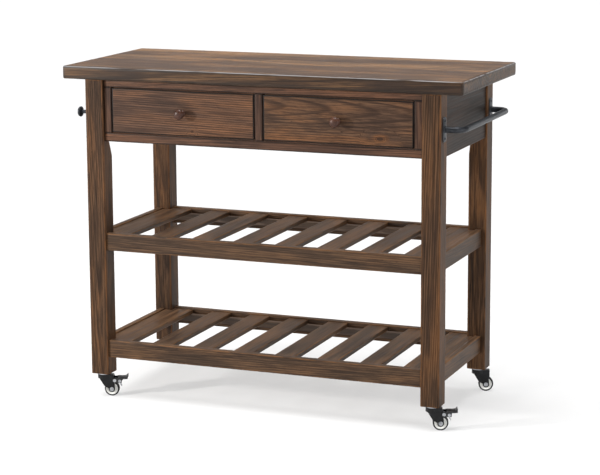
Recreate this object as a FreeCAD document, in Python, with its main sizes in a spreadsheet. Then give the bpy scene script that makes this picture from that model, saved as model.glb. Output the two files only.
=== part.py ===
import FreeCAD, Part
import math
import os
import Sketcher
from FreeCAD import Placement, Rotation, Vector

# A kitchen island cart: a worktop on four square legs, two inset drawers, two
# slatted shelves, a towel bar, two pegs and four swivel casters, the front two
# with brakes.  X runs left to right, Y front to back, Z up from the floor.
# The origin is on the floor, under the centre of the cart's outer box.

SIZES = {
    # Worktop
    "slab_width": 1122.0, "slab_depth": 480.0, "slab_thick": 35.0, "overall_height": 914.0,
    "slab_round": 5.0,
    # Legs, and how far the worktop overhangs them
    "leg_side": 51.0, "side_overhang": 61.0, "front_overhang": 11.0, "back_overhang": 10.0,
    "leg_round": 3.0, "leg_foot_chamfer": 4.0,
    # The flat across each leg's inner corner: how deep, how long its slope, where that starts
    "corner_cut_deep": 15.0, "corner_cut_slope": 58.0, "corner_cut_start": 46.0,
    # Aprons and the face frame round the drawers
    "apron_drop": 167.0, "apron_thick": 18.0, "apron_inset": 5.0,
    "face_inset": 9.0, "face_thick": 20.0, "top_rail_tall": 20.0, "bottom_rail_tall": 23.0,
    "stile_wide": 22.0,
    # Shelves: rail tops above the floor, rails, slats and the cleats below them
    "mid_shelf_top": 460.0, "low_shelf_top": 162.0, "shelf_rail_tall": 47.0,
    "shelf_rail_thick": 20.0, "shelf_rail_inset": 6.0, "side_rail_thick": 16.0,
    "side_rail_inset": 13.0, "slat_thick": 12.0, "slat_wide": 58.0, "end_slat_wide": 79.0,
    "slat_drop": 3.0, "slat_play": 0.8, "cleat_side": 18.0,
    # Dowels and worktop screws
    "dowel_radius": 4.0, "dowel_length": 36.0, "screw_radius": 2.25, "screw_head_radius": 4.5,
    "screw_head_thick": 3.0, "screw_bite": 20.0,
    # Drawers
    "drawer_gap": 2.2, "drawer_round": 1.5, "box_play": 4.0, "box_lift": 0.6, "box_tall": 92.0,
    "box_back_play": 15.0, "box_board": 12.0, "panel_thick": 5.0, "panel_raise": 8.0,
    "panel_tongue": 5.0, "groove_play": 0.2,
    # Drawer runners and kickers
    "runner_thick": 12.0, "runner_reach": 16.0, "guide_outside": 8.0, "guide_play": 1.5,
    "guide_tall": 20.0, "kicker_gap": 3.0,
    # Drawer knobs
    "knob_radius": 14.0, "knob_reach": 29.0, "knob_base_radius": 9.0, "knob_neck_radius": 6.0,
    "knob_base_thick": 2.5, "knob_neck_start": 5.0, "knob_neck_end": 10.0, "knob_rim_low": 18.0,
    "knob_rim_high": 22.0, "knob_dome_radius": 10.5, "knob_dome_start": 27.0,
    "knob_flat_radius": 4.7, "knob_screw_radius": 2.0,
    "knob_screw_head_radius": 4.0, "knob_screw_head_thick": 2.5, "knob_screw_depth": 12.0,
    # Towel bar on the right, pegs on the left
    "bar_drop": 127.0, "bar_radius": 8.0, "bar_wall": 1.5, "bar_reach": 50.0,
    "bar_bend": 30.0, "flange_wide": 26.0, "flange_tall": 64.0, "flange_thick": 3.0,
    "flange_corner": 9.0, "flange_screw_rise": 23.0, "flange_screw_head_radius": 4.0,
    "flange_screw_head_thick": 1.8, "flange_screw_bite": 22.0,
    "peg_reach": 33.0, "peg_head_radius": 14.0, "peg_head_thick": 12.0, "peg_neck_radius": 5.0,
    "peg_rim_thick": 4.0, "peg_flat_radius": 9.3, "peg_base_radius": 10.0, "peg_base_thick": 3.0,
    "peg_neck_start": 6.0, "peg_stud_radius": 3.0, "peg_stud_length": 22.0,
    # Casters: the stem and its socket in the leg
    "caster_height": 66.0, "caster_turn": 20.0, "caster_trail": 21.0, "stem_radius": 5.0,
    "stem_length": 32.0, "socket_radius": 7.0, "socket_length": 36.0, "race_radius": 17.0,
    "race_thick": 4.0, "race_gap": 0.5, "kingpin_radius": 3.5, "kingpin_head_radius": 6.0,
    "kingpin_head_thick": 2.5, "running_play": 0.05,
    # Casters: fork, with its side plates' corners measured from the axle
    "head_radius": 18.0, "head_tall": 11.0, "skirt_thick": 2.5, "crown_thick": 5.0,
    "plate_thick": 2.2, "plate_gap": 21.0, "eye_radius": 9.0, "plate_drop": 2.0,
    "plate_back": 12.5, "knee_rise": 9.0, "waist_back": 11.6, "waist_rise": 3.0,
    "plate_front_ahead": 7.4, "plate_front_rise": 16.0, "plate_top_ahead": 4.0,
    "plain_front_ahead": 10.0,
    # Casters: wheel
    "wheel_radius": 20.5, "tyre_thick": 4.2, "tyre_wide": 17.0, "tyre_round": 2.5,
    "hub_wide": 19.0, "hub_web": 11.0, "hub_boss_radius": 8.0, "rim_lip": 2.5,
    "axle_radius": 3.0, "axle_head_radius": 5.6, "axle_head_thick": 3.0, "axle_tail": 3.6,
    # Brakes: the pin, ahead of the axle and above the tyre
    "brake_pin_ahead": 8.4, "brake_pin_rise": 4.2, "brake_pin_radius": 2.5, "brake_pin_head": 4.4,
    "brake_pin_head_thick": 1.4, "boss_radius": 7.0,
    # Brakes: the lever, measured from its pin
    "cheek_thick": 1.8, "cheek_play": 0.4, "cheek_radius": 6.0, "cheek_ahead": 19.2,
    "cheek_drop": 6.9, "bridge_ahead": 8.8, "bridge_rise": 7.8, "pedal_ahead": 20.6,
    "pedal_end_ahead": 35.6, "pedal_rim_rise": 3.3, "pedal_dip": 1.0, "pedal_lip_rise": 13.3,
    "pedal_lip_thick": 2.0, "pedal_lip_run": 6.0, "pedal_thick": 2.4,
    # Brakes: the rivet across the lever that the leaf lies behind
    "cross_pin_ahead": 13.9, "cross_pin_drop": 1.5, "cross_pin_radius": 2.0, "cross_pin_head": 4.0,
    # Brakes: the leaf under the lever, clear of the tyre until the lever is pressed
    "leaf_thick": 1.2, "leaf_slant": 0.6, "leaf_wide": 14.0, "leaf_top_ahead": 11.6,
    "leaf_knee_ahead": 9.6, "leaf_knee_drop": 5.2, "leaf_gap": 5.5, "leaf_end_rise": 6.5,
}

SLATS = 8
APRON_DOWELS = 3
RAIL_DOWELS = 2
TOP_SCREWS = 4
TINY = 0.01

doc = FreeCAD.newDocument("kitchen_island_cart")
sheet = doc.addObject("Spreadsheet::Sheet", "Size")
for row, (alias, length) in enumerate(SIZES.items(), start=1):
    sheet.set(f"A{row}", alias)
    sheet.set(f"B{row}", str(length))
    sheet.setAlias(f"B{row}", alias)
doc.recompute()

nodes = {}


def size(expression):
    """An expression over the sheet: every name that is an alias becomes Size.alias."""
    words = []
    for word in expression.replace("(", " ( ").replace(")", " ) ").split():
        sign = "-" if word.startswith("-") and len(word) > 1 else ""
        bare = word[len(sign):]
        words.append(f"{sign}Size.{bare}" if bare in SIZES else word)
    return "(" + " ".join(words) + ")"


def number(expression):
    """The value of a finished expression, as a plain number."""
    return float(sheet.evalExpression(expression))


# Planes that several pieces share, each an expression
FRONT = size("( knob_reach - front_overhang - face_inset - slab_depth ) / 2")
BACK = size(f"{FRONT} + slab_depth")
LEG_OUT = size("slab_width / 2 - side_overhang")
LEG_IN = size(f"{LEG_OUT} - leg_side")
LEG_FRONT = size(f"{FRONT} + front_overhang")
LEG_FRONT_IN = size(f"{LEG_FRONT} + leg_side")
LEG_BACK = size(f"{BACK} - back_overhang")
LEG_BACK_IN = size(f"{LEG_BACK} - leg_side")
UNDER_TOP = size("overall_height - slab_thick")
APRON_LOW = size(f"{UNDER_TOP} - apron_drop")
APRON_IN = size(f"{LEG_OUT} - apron_inset - apron_thick")
APRON_BACK_IN = size(f"{LEG_BACK} - apron_inset - apron_thick")
FACE = size(f"{LEG_FRONT} + face_inset")
FACE_BACK = size(f"{FACE} + face_thick")
OPENING_LOW = size(f"{APRON_LOW} + bottom_rail_tall")
OPENING_TOP = size(f"{UNDER_TOP} - top_rail_tall")
OPENING_OUT = size(f"{LEG_IN} - stile_wide")
OPENING_MID = size("stile_wide / 2")
BOX_LOW = size(f"{OPENING_LOW} + box_lift")
RAIL_FRONT = size(f"{LEG_FRONT} + shelf_rail_inset")
RAIL_FRONT_IN = size(f"{RAIL_FRONT} + shelf_rail_thick")
RAIL_BACK = size(f"{LEG_BACK} - shelf_rail_inset")
RAIL_BACK_IN = size(f"{RAIL_BACK} - shelf_rail_thick")
RAIL_SIDE = size(f"{LEG_OUT} - side_rail_inset")
RAIL_SIDE_IN = size(f"{RAIL_SIDE} - side_rail_thick")
DRAWER_MIDDLE = size(f"( {OPENING_OUT} + {OPENING_MID} ) / 2")
BAR_Z = size("overall_height - bar_drop")
LEG_FRONT_MID = size(f"{LEG_FRONT} + leg_side / 2")
LEG_BACK_MID = size(f"{LEG_BACK} - leg_side / 2")
LEG_MID = size(f"{LEG_OUT} - leg_side / 2")
CORNERS = {
    "front_left": (f"-{LEG_MID}", LEG_FRONT_MID), "front_right": (LEG_MID, LEG_FRONT_MID),
    "back_left": (f"-{LEG_MID}", LEG_BACK_MID), "back_right": (LEG_MID, LEG_BACK_MID),
}
# Each leg's inner corner, and the heading from there to the leg's middle, in degrees
INNER_CORNERS = {
    "front_left": (f"-{LEG_IN}", LEG_FRONT_IN, 225), "front_right": (LEG_IN, LEG_FRONT_IN, 315),
    "back_left": (f"-{LEG_IN}", LEG_BACK_IN, 135), "back_right": (LEG_IN, LEG_BACK_IN, 45),
}
KNOB_Z = size(f"( {OPENING_LOW} + {OPENING_TOP} ) / 2")


# ---------------------------------------------------------------- ways of making a piece

def place(piece, x="0", y="0", z="0"):
    for axis, expression in zip("xyz", (x, y, z)):
        piece.setExpression(f"Placement.Base.{axis}", expression)
    return piece


def turn(piece, axis, degrees):
    piece.Placement = Placement(Vector(0, 0, 0), Rotation(axis, degrees))
    return piece


def box(name, low, high):
    """A square-edged board between two corners, each three expressions."""
    piece = doc.addObject("Part::Box", name)
    for side, start, end in zip(("Length", "Width", "Height"), low, high):
        piece.setExpression(side, f"{end} - {start}")
    return place(piece, *low)


def rod(name, radius, length, centre, direction):
    """A cylinder whose middle is at centre, along the X, Y or Z direction."""
    piece = doc.addObject("Part::Cylinder", name)
    piece.setExpression("Radius", radius)
    piece.setExpression("Height", length)
    turns = {"X": (Vector(0, 1, 0), 90), "Y": (Vector(1, 0, 0), -90), "Z": (Vector(0, 0, 1), 0)}
    turn(piece, *turns[direction])
    start = list(centre)
    index = "XYZ".index(direction)
    start[index] = f"{start[index]} - {length} / 2"
    return place(piece, *start)


def group(name, pieces):
    whole = doc.addObject("Part::Compound", name)
    whole.Links = pieces
    return whole


def cut(name, base, tool):
    whole = doc.addObject("Part::Cut", name)
    whole.Base = base
    whole.Tool = tool
    return whole


def fuse(name, pieces):
    whole = doc.addObject("Part::MultiFuse", name)
    whole.Shapes = pieces
    return whole


def keep(name, piece):
    """Marks a finished piece as a node; its label is the node's name."""
    piece.Label = name
    nodes[name] = piece
    return piece


def new_body(name):
    return doc.addObject("PartDesign::Body", name)


def sketch_on(body, name, role):
    sketch = body.newObject("Sketcher::SketchObject", name)
    plane = next(item for item in body.Origin.OriginFeatures if item.Role == role)
    sketch.AttachmentSupport = (plane, [""])
    sketch.MapMode = "FlatFace"
    return sketch


def pin_point(sketch, geometry, corner, across, along):
    """Holds one point of a sketch at two expressions from the sketch's origin."""
    for kind, expression in (("DistanceX", across), ("DistanceY", along)):
        held = Sketcher.Constraint(kind, -1, 1, geometry, corner, number(expression))
        index = sketch.addConstraint(held)
        sketch.setExpression(f"Constraints[{index}]", expression)


def outline(sketch, corners):
    """A closed outline of straight lines through corners, each two expressions."""
    points = [Vector(number(across), number(along), 0) for across, along in corners]
    count = len(points)
    first = sketch.GeometryCount
    for index in range(count):
        line = Part.LineSegment(points[index], points[(index + 1) % count])
        sketch.addGeometry(line, False)
    for index, (across, along) in enumerate(corners):
        following = first + (index + 1) % count
        sketch.addConstraint(Sketcher.Constraint("Coincident", first + index, 2, following, 1))
        pin_point(sketch, first + index, 1, across, along)


def disc(sketch, across, along, radius):
    """A circle with its centre and radius held by expressions."""
    centre = Vector(number(across), number(along), 0)
    ring = sketch.addGeometry(Part.Circle(centre, Vector(0, 0, 1), number(radius)), False)
    pin_point(sketch, ring, 3, across, along)
    index = sketch.addConstraint(Sketcher.Constraint("Radius", ring, number(radius)))
    sketch.setExpression(f"Constraints[{index}]", radius)


def pad(body, sketch, length, both_ways=False):
    feature = body.newObject("PartDesign::Pad", sketch.Name + "_pad")
    feature.Profile = sketch
    feature.setExpression("Length", length)
    feature.Midplane = both_ways
    return feature


def pocket(body, sketch, length):
    """Removes a sketch's outline to both sides of its plane."""
    feature = body.newObject("PartDesign::Pocket", sketch.Name + "_pocket")
    feature.Profile = sketch
    feature.setExpression("Length", length)
    feature.Midplane = True
    return feature


def soften(body, feature, radius, edges=None, kind="Fillet"):
    """Rounds or chamfers all edges, or the edges that a test picks by their middle."""
    doc.recompute()
    chosen = []
    for index, edge in enumerate(feature.Shape.Edges, start=1):
        if edges and edges(edge):
            chosen.append(f"Edge{index}")
    dressed = body.newObject(f"PartDesign::{kind}", f"{feature.Name}_{kind.lower()}")
    dressed.Base = (feature, chosen)
    dressed.UseAllEdges = edges is None
    dressed.setExpression("Radius" if kind == "Fillet" else "Size", radius)
    return dressed


def revolve(name, profile):
    """A turned piece: a closed profile of (radius, height) corners spun about local Z."""
    body = new_body(name)
    sketch = sketch_on(body, f"{name}_profile", "XZ_Plane")
    outline(sketch, profile)
    feature = body.newObject("PartDesign::Revolution", f"{name}_turning")
    feature.Profile = sketch
    feature.ReferenceAxis = (sketch, ["V_Axis"])
    feature.Angle = 360.0
    return body


def board(name, low, high, radius=None):
    """A board between two corners with all its edges eased."""
    body = new_body(name)
    sketch = sketch_on(body, f"{name}_plan", "XY_Plane")
    wide = f"{high[0]} - {low[0]}"
    deep = f"{high[1]} - {low[1]}"
    outline(sketch, [("0", "0"), (wide, "0"), (wide, deep), ("0", deep)])
    feature = pad(body, sketch, f"{high[2]} - {low[2]}")
    if radius:
        soften(body, feature, radius)
    return place(body, *low)


def spread(count):
    """The middles of equal shares of a length, each as a fraction of it."""
    return [f"{2 * index + 1} / {2 * count}" for index in range(count)]


def ends(side):
    """An interval's two expressions on the left (-1) or right (1) of the cart's middle."""
    def mirrored(inner, outer):
        return (inner, outer) if side > 0 else (f"-{outer}", f"-{inner}")
    return mirrored


# ---------------------------------------------------------------- dowels, screws and sockets

def rail_dowels():
    """Pairs of dowels where each shelf rail meets a leg."""
    pieces = []
    across = (size(f"( {RAIL_FRONT} + {RAIL_FRONT_IN} ) / 2"), size(f"( {RAIL_BACK} + {RAIL_BACK_IN} ) / 2"))
    side_x = size(f"( {RAIL_SIDE} + {RAIL_SIDE_IN} ) / 2")
    for level in ("mid", "low"):
        for share in spread(RAIL_DOWELS):
            z = size(f"{level}_shelf_top - shelf_rail_tall * {share}")
            for sign in ("-", ""):
                for y in across:
                    pieces.append(dowel((f"{sign}{LEG_IN}", y, z), "X"))
                for y in (LEG_FRONT_IN, LEG_BACK_IN):
                    pieces.append(dowel((f"{sign}{side_x}", y, z), "Y"))
    return pieces


def apron_dowels():
    """Rows of three dowels where each apron meets a leg."""
    pieces = []
    side_x = size(f"( {APRON_IN} + {LEG_OUT} - apron_inset ) / 2")
    back_y = size(f"( {APRON_BACK_IN} + {LEG_BACK} - apron_inset ) / 2")
    for share in spread(APRON_DOWELS):
        z = size(f"{APRON_LOW} + apron_drop * {share}")
        for sign in ("-", ""):
            pieces.append(dowel((f"{sign}{LEG_IN}", back_y, z), "X"))
            for y in (LEG_FRONT_IN, LEG_BACK_IN):
                pieces.append(dowel((f"{sign}{side_x}", y, z), "Y"))
    return pieces


def face_dowels():
    """One dowel at each end of the face frame's members."""
    pieces = []
    y = size(f"( {FACE} + {FACE_BACK} ) / 2")
    top_z = size(f"{UNDER_TOP} - top_rail_tall / 2")
    low_z = size(f"{APRON_LOW} + bottom_rail_tall / 2")
    for sign in ("-", ""):
        for z in (top_z, low_z, KNOB_Z):
            pieces.append(dowel((f"{sign}{LEG_IN}", y, z), "X"))
    for z in (OPENING_TOP, OPENING_LOW):
        pieces.append(dowel(("0", y, z), "Z"))
    return pieces


def dowel(centre, direction):
    return rod("dowel", size("dowel_radius"), size("dowel_length"), centre, direction)


def screw(name, radius, head_radius, head_thick, length, foot, direction):
    """A screw whose head stands outside the face at foot and whose shank runs inwards.

    direction is the axis letter and the sign of the way the shank points."""
    axis, sign = direction
    index = "XYZ".index(axis)
    shank_at = list(foot)
    head_at = list(foot)
    shank_at[index] = f"{foot[index]} {sign} {length} / 2"
    other = "-" if sign == "+" else "+"
    head_at[index] = f"{foot[index]} {other} {head_thick} / 2"
    shank = rod(f"{name}_shank", radius, length, shank_at, axis)
    head = rod(f"{name}_head", head_radius, head_thick, head_at, axis)
    return fuse(name, [shank, head])


def top_screws():
    """Screws up through each side cleat into the worktop."""
    pieces = []
    x = size(f"{APRON_IN} - cleat_side / 2")
    z = size(f"{UNDER_TOP} - cleat_side")
    for sign in ("-", ""):
        for share in spread(TOP_SCREWS):
            y = size(f"{LEG_FRONT_IN} + ( {LEG_BACK_IN} - {LEG_FRONT_IN} ) * {share}")
            pieces.append(screw("top_screw", size("screw_radius"), size("screw_head_radius"),
                                size("screw_head_thick"), size("cleat_side + screw_bite"),
                                (f"{sign}{x}", y, z), "Z+"))
    return pieces


def bar_screws():
    """Two screws through each flange of the towel bar into its leg."""
    pieces = []
    foot_x = size(f"{LEG_OUT} + flange_thick")
    for y in (LEG_FRONT_MID, LEG_BACK_MID):
        for sign in ("-", "+"):
            z = size(f"{BAR_Z} {sign} flange_screw_rise")
            pieces.append(screw("bar_screw", size("screw_radius"), size("flange_screw_head_radius"),
                                size("flange_screw_head_thick"), size("flange_thick + flange_screw_bite"),
                                (foot_x, y, z), "X-"))
    return pieces


def pegs():
    """Two round-headed pegs on the outer faces of the left legs."""
    pieces = []
    for y in (LEG_FRONT_MID, LEG_BACK_MID):
        peg = revolve("peg", [
            ("0", size("-peg_stud_length")), (size("peg_stud_radius"), size("-peg_stud_length")),
            (size("peg_stud_radius"), "0"), (size("peg_base_radius"), "0"),
            (size("peg_base_radius"), size("peg_base_thick")),
            (size("peg_neck_radius"), size("peg_neck_start")),
            (size("peg_neck_radius"), size("peg_reach - peg_head_thick")),
            (size("peg_head_radius"), size("peg_reach - peg_rim_thick * 2")),
            (size("peg_head_radius"), size("peg_reach - peg_rim_thick")),
            (size("peg_flat_radius"), size("peg_reach")), ("0", size("peg_reach")),
        ])
        turn(peg, Vector(0, 1, 0), -90)
        pieces.append(place(peg, f"-{LEG_OUT}", y, BAR_Z))
    return pieces


def sockets():
    """A bored metal sleeve pressed up into the foot of each leg."""
    pieces = []
    for x, y in CORNERS.values():
        sleeve = revolve("socket", [
            (size("stem_radius"), "0"), (size("socket_radius"), "0"),
            (size("socket_radius"), size("socket_length")), ("0", size("socket_length")),
            ("0", size("stem_length")), (size("stem_radius"), size("stem_length")),
        ])
        pieces.append(place(sleeve, x, y, size("caster_height")))
    return pieces


def stems():
    """The caster stem: a shank up into its socket, a race and the pin the fork hangs on."""
    pieces = []
    race_low = size("caster_height - race_thick")
    head_top = size(f"{race_low} - race_gap - crown_thick - race_gap")
    for x, y in CORNERS.values():
        stem = revolve("stem", [
            ("0", size(f"{head_top} - kingpin_head_thick")),
            (size("kingpin_head_radius"), size(f"{head_top} - kingpin_head_thick")),
            (size("kingpin_head_radius"), head_top), (size("kingpin_radius"), head_top),
            (size("kingpin_radius"), race_low), (size("race_radius"), race_low),
            (size("race_radius"), size("caster_height")), (size("stem_radius"), size("caster_height")),
            (size("stem_radius"), size("caster_height + stem_length")),
            ("0", size("caster_height + stem_length")),
        ])
        pieces.append(place(stem, x, y, "0"))
    return pieces


dowels = keep("joint_dowels", group("joint_dowels", rail_dowels() + apron_dowels() + face_dowels()))
worktop_screws = keep("top_screws", group("top_screws", top_screws()))
towel_screws = keep("towel_bar_screws", group("towel_bar_screws", bar_screws()))
side_pegs = keep("side_pegs", group("side_pegs", pegs()))
keep("caster_sockets", group("caster_sockets", sockets()))
keep("caster_stems", group("caster_stems", stems()))
socket_holes = [rod("socket_hole", size("socket_radius"), size("socket_length"),
                    (x, y, size("caster_height + socket_length / 2")), "Z") for x, y in CORNERS.values()]
leg_fittings = group("leg_fittings", [dowels, towel_screws, side_pegs] + socket_holes)


# ---------------------------------------------------------------- worktop, legs and aprons

def worktop():
    half = size("slab_width / 2")
    slab = board("slab_blank", (f"-{half}", FRONT, UNDER_TOP), (half, BACK, size("overall_height")),
                 size("slab_round"))
    keep("top_slab", cut("top_slab", slab, worktop_screws))


def is_upright(edge):
    return edge.BoundBox.XLength + edge.BoundBox.YLength < TINY


def is_at_foot(edge):
    return edge.BoundBox.ZMax < TINY


def corner_cut(corner):
    """What is planed off a leg's inner corner behind the aprons, sloping out just below them."""
    body = new_body(f"corner_cut_{corner}")
    profile = sketch_on(body, f"corner_profile_{corner}", "XZ_Plane")
    start = size(f"{APRON_LOW} - corner_cut_start")
    full = size(f"{start} + corner_cut_slope")
    deep = size("corner_cut_deep")
    outline(profile, [("0", start), (deep, full), (deep, UNDER_TOP), (f"-{deep}", UNDER_TOP),
                      (f"-{deep}", start)])
    pad(body, profile, size("leg_side"), True)
    x, y, heading = INNER_CORNERS[corner]
    turn(body, Vector(0, 0, 1), heading)
    return place(body, x, y, "0")


def legs():
    for corner, (x, y) in CORNERS.items():
        body = new_body(f"leg_blank_{corner}")
        sketch = sketch_on(body, f"leg_plan_{corner}", "XY_Plane")
        half = size("leg_side / 2")
        outline(sketch, [(f"-{half}", f"-{half}"), (half, f"-{half}"), (half, half), (f"-{half}", half)])
        post = pad(body, sketch, size(f"{UNDER_TOP} - caster_height"))
        foot = soften(body, post, size("leg_foot_chamfer"), is_at_foot, "Chamfer")
        soften(body, foot, size("leg_round"), is_upright)
        place(body, x, y, size("caster_height"))
        planed = cut(f"leg_planed_{corner}", body, corner_cut(corner))
        keep(f"leg_{corner}", cut(f"leg_{corner}", planed, leg_fittings))


def member(name, low, high):
    """A board of the frame, drilled for its dowels."""
    keep(name, cut(name, box(f"{name}_blank", low, high), dowels))


def aprons():
    for word, side in (("left", -1), ("right", 1)):
        start, end = ends(side)(APRON_IN, size(f"{LEG_OUT} - apron_inset"))
        member(f"side_apron_{word}", (start, LEG_FRONT_IN, APRON_LOW), (end, LEG_BACK_IN, UNDER_TOP))
    member("back_apron", (f"-{LEG_IN}", APRON_BACK_IN, APRON_LOW),
           (LEG_IN, size(f"{LEG_BACK} - apron_inset"), UNDER_TOP))


def face_frame():
    member("face_top_rail", (f"-{LEG_IN}", FACE, OPENING_TOP), (LEG_IN, FACE_BACK, UNDER_TOP))
    member("face_bottom_rail", (f"-{LEG_IN}", FACE, APRON_LOW), (LEG_IN, FACE_BACK, OPENING_LOW))
    stiles = []
    for start, end in ((f"-{LEG_IN}", f"-{OPENING_OUT}"), (OPENING_OUT, LEG_IN),
                       (f"-{OPENING_MID}", OPENING_MID)):
        stiles.append(box("stile", (start, FACE, OPENING_LOW), (end, FACE_BACK, OPENING_TOP)))
    keep("face_stiles", cut("face_stiles", group("stile_blanks", stiles), dowels))


def top_cleats():
    strips = []
    for side in (-1, 1):
        start, end = ends(side)(size(f"{APRON_IN} - cleat_side"), APRON_IN)
        strips.append(box("top_cleat", (start, LEG_FRONT_IN, size(f"{UNDER_TOP} - cleat_side")),
                          (end, LEG_BACK_IN, UNDER_TOP)))
    keep("top_cleats", cut("top_cleats", group("top_cleat_blanks", strips), worktop_screws))


# ---------------------------------------------------------------- shelves

def shelf_rails(level):
    top = size(f"{level}_shelf_top")
    low = size(f"{level}_shelf_top - shelf_rail_tall")
    member(f"{level}_front_rail", (f"-{LEG_IN}", RAIL_FRONT, low), (LEG_IN, RAIL_FRONT_IN, top))
    member(f"{level}_back_rail", (f"-{LEG_IN}", RAIL_BACK_IN, low), (LEG_IN, RAIL_BACK, top))


def side_rails():
    """The four rails that close the ends of both shelves."""
    rails = []
    for level in ("mid", "low"):
        top = size(f"{level}_shelf_top")
        low = size(f"{level}_shelf_top - shelf_rail_tall")
        for side in (-1, 1):
            start, end = ends(side)(RAIL_SIDE_IN, RAIL_SIDE)
            rails.append(box("side_rail", (start, LEG_FRONT_IN, low), (end, LEG_BACK_IN, top)))
    keep("shelf_side_rails", cut("shelf_side_rails", group("side_rail_blanks", rails), dowels))


def shelf_slats(level):
    """Eight slats from front rail to back rail; the end ones are wider, notched round the legs."""
    top = size(f"{level}_shelf_top - slat_drop")
    low = size(f"{level}_shelf_top - slat_drop - slat_thick")
    start_y = size(f"{RAIL_FRONT_IN} + slat_play")
    end_y = size(f"{RAIL_BACK_IN} - slat_play")
    inner = size(f"{RAIL_SIDE_IN} - slat_play")
    gap = size(f"( {inner} * 2 - end_slat_wide * 2 - slat_wide * {SLATS - 2} ) / {SLATS - 1}")
    notch_x = size(f"{LEG_IN} - slat_play")
    posts = []
    for side in (-1, 1):
        start, end = ends(side)(notch_x, size(f"{LEG_OUT}"))
        for low_y, high_y in ((LEG_FRONT, size(f"{LEG_FRONT_IN} + slat_play")),
                              (size(f"{LEG_BACK_IN} - slat_play"), LEG_BACK)):
            posts.append(box("slat_notch", (start, low_y, low), (end, high_y, top)))
    slats = []
    for index in range(SLATS):
        if index in (0, SLATS - 1):
            start, end = ends(1 if index else -1)(size(f"{inner} - end_slat_wide"), inner)
            plank = box("end_slat", (start, start_y, low), (end, end_y, top))
            corner_posts = posts[2:] if index else posts[:2]
            slats.append(cut("notched_slat", plank, group("slat_notches", corner_posts)))
        else:
            start = size(f"-{inner} + end_slat_wide + {gap} * {index} + slat_wide * {index - 1}")
            slats.append(box("slat", (start, start_y, low), (size(f"{start} + slat_wide"), end_y, top)))
    keep(f"{level}_slats", group(f"{level}_slats", slats))


def shelf_cleats():
    strips = []
    for level in ("mid", "low"):
        top = size(f"{level}_shelf_top - slat_drop - slat_thick")
        low = size(f"{level}_shelf_top - slat_drop - slat_thick - cleat_side")
        for start, end in ((RAIL_FRONT_IN, size(f"{RAIL_FRONT_IN} + cleat_side")),
                           (size(f"{RAIL_BACK_IN} - cleat_side"), RAIL_BACK_IN)):
            strips.append(box("shelf_cleat", (f"-{LEG_IN}", start, low), (LEG_IN, end, top)))
    keep("shelf_cleats", group("shelf_cleats", strips))


# ---------------------------------------------------------------- drawers

def opening(side):
    """The left and right edges of the drawer opening on one side of the middle."""
    return ends(side)(OPENING_MID, OPENING_OUT)


def drawer(word, side):
    left, right = opening(side)
    middle = DRAWER_MIDDLE if side > 0 else f"-{DRAWER_MIDDLE}"
    front_low = (size(f"{left} + drawer_gap"), FACE, size(f"{OPENING_LOW} + drawer_gap"))
    front_high = (size(f"{right} - drawer_gap"), FACE_BACK, size(f"{OPENING_TOP} - drawer_gap"))
    front = board(f"drawer_front_blank_{word}", front_low, front_high, size("drawer_round"))
    foot = (middle, FACE_BACK, KNOB_Z)
    bolt = screw(f"knob_screw_{word}", size("knob_screw_radius"), size("knob_screw_head_radius"),
                 size("knob_screw_head_thick"), size("face_thick + knob_screw_depth"), foot, "Y-")
    keep(f"drawer_{word}_knob_screw", bolt)

    box_left = size(f"{left} + box_play")
    box_right = size(f"{right} - box_play")
    box_back = size(f"{APRON_BACK_IN} - box_back_play")
    box_top = size(f"{BOX_LOW} + box_tall")
    panel_low = size(f"{BOX_LOW} + panel_raise")
    inner_left = size(f"{box_left} + box_board")
    inner_right = size(f"{box_right} - box_board")
    inner_back = size(f"{box_back} - box_board")
    panel_from = (size(f"{inner_left} - panel_tongue"), size(f"{FACE_BACK} - panel_tongue"), panel_low)
    panel_to = (size(f"{inner_right} + panel_tongue"), size(f"{inner_back} + panel_tongue"),
                size(f"{panel_low} + panel_thick"))
    keep(f"drawer_{word}_bottom", box(f"drawer_{word}_bottom", panel_from, panel_to))
    groove_from = tuple(size(f"{edge} - groove_play") for edge in panel_from)
    groove_to = tuple(size(f"{edge} + groove_play") for edge in panel_to)
    groove = box(f"groove_{word}", groove_from, groove_to)
    boards = [
        box("drawer_side", (box_left, FACE_BACK, BOX_LOW), (inner_left, box_back, box_top)),
        box("drawer_side", (inner_right, FACE_BACK, BOX_LOW), (box_right, box_back, box_top)),
        box("drawer_back", (inner_left, inner_back, BOX_LOW), (inner_right, box_back, box_top)),
    ]
    keep(f"drawer_{word}_box", cut(f"drawer_{word}_box", group(f"box_blank_{word}", boards), groove))
    holes = group(f"front_holes_{word}", [bolt, groove])
    keep(f"drawer_{word}_front", cut(f"drawer_{word}_front", front, holes))
    keep(f"drawer_{word}_knob", knob(word, middle, bolt))


def knob(word, middle, bolt):
    """A turned knob: a small foot, a narrow neck and a domed head."""
    body = revolve(f"knob_{word}", [
        ("0", "0"), (size("knob_base_radius"), "0"), (size("knob_base_radius"), size("knob_base_thick")),
        (size("knob_neck_radius"), size("knob_neck_start")),
        (size("knob_neck_radius"), size("knob_neck_end")),
        (size("knob_radius"), size("knob_rim_low")), (size("knob_radius"), size("knob_rim_high")),
        (size("knob_dome_radius"), size("knob_dome_start")),
        (size("knob_flat_radius"), size("knob_reach")), ("0", size("knob_reach")),
    ])
    turn(body, Vector(1, 0, 0), 90)
    place(body, middle, FACE, KNOB_Z)
    return cut(f"drawer_{word}_knob", body, bolt)


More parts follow.
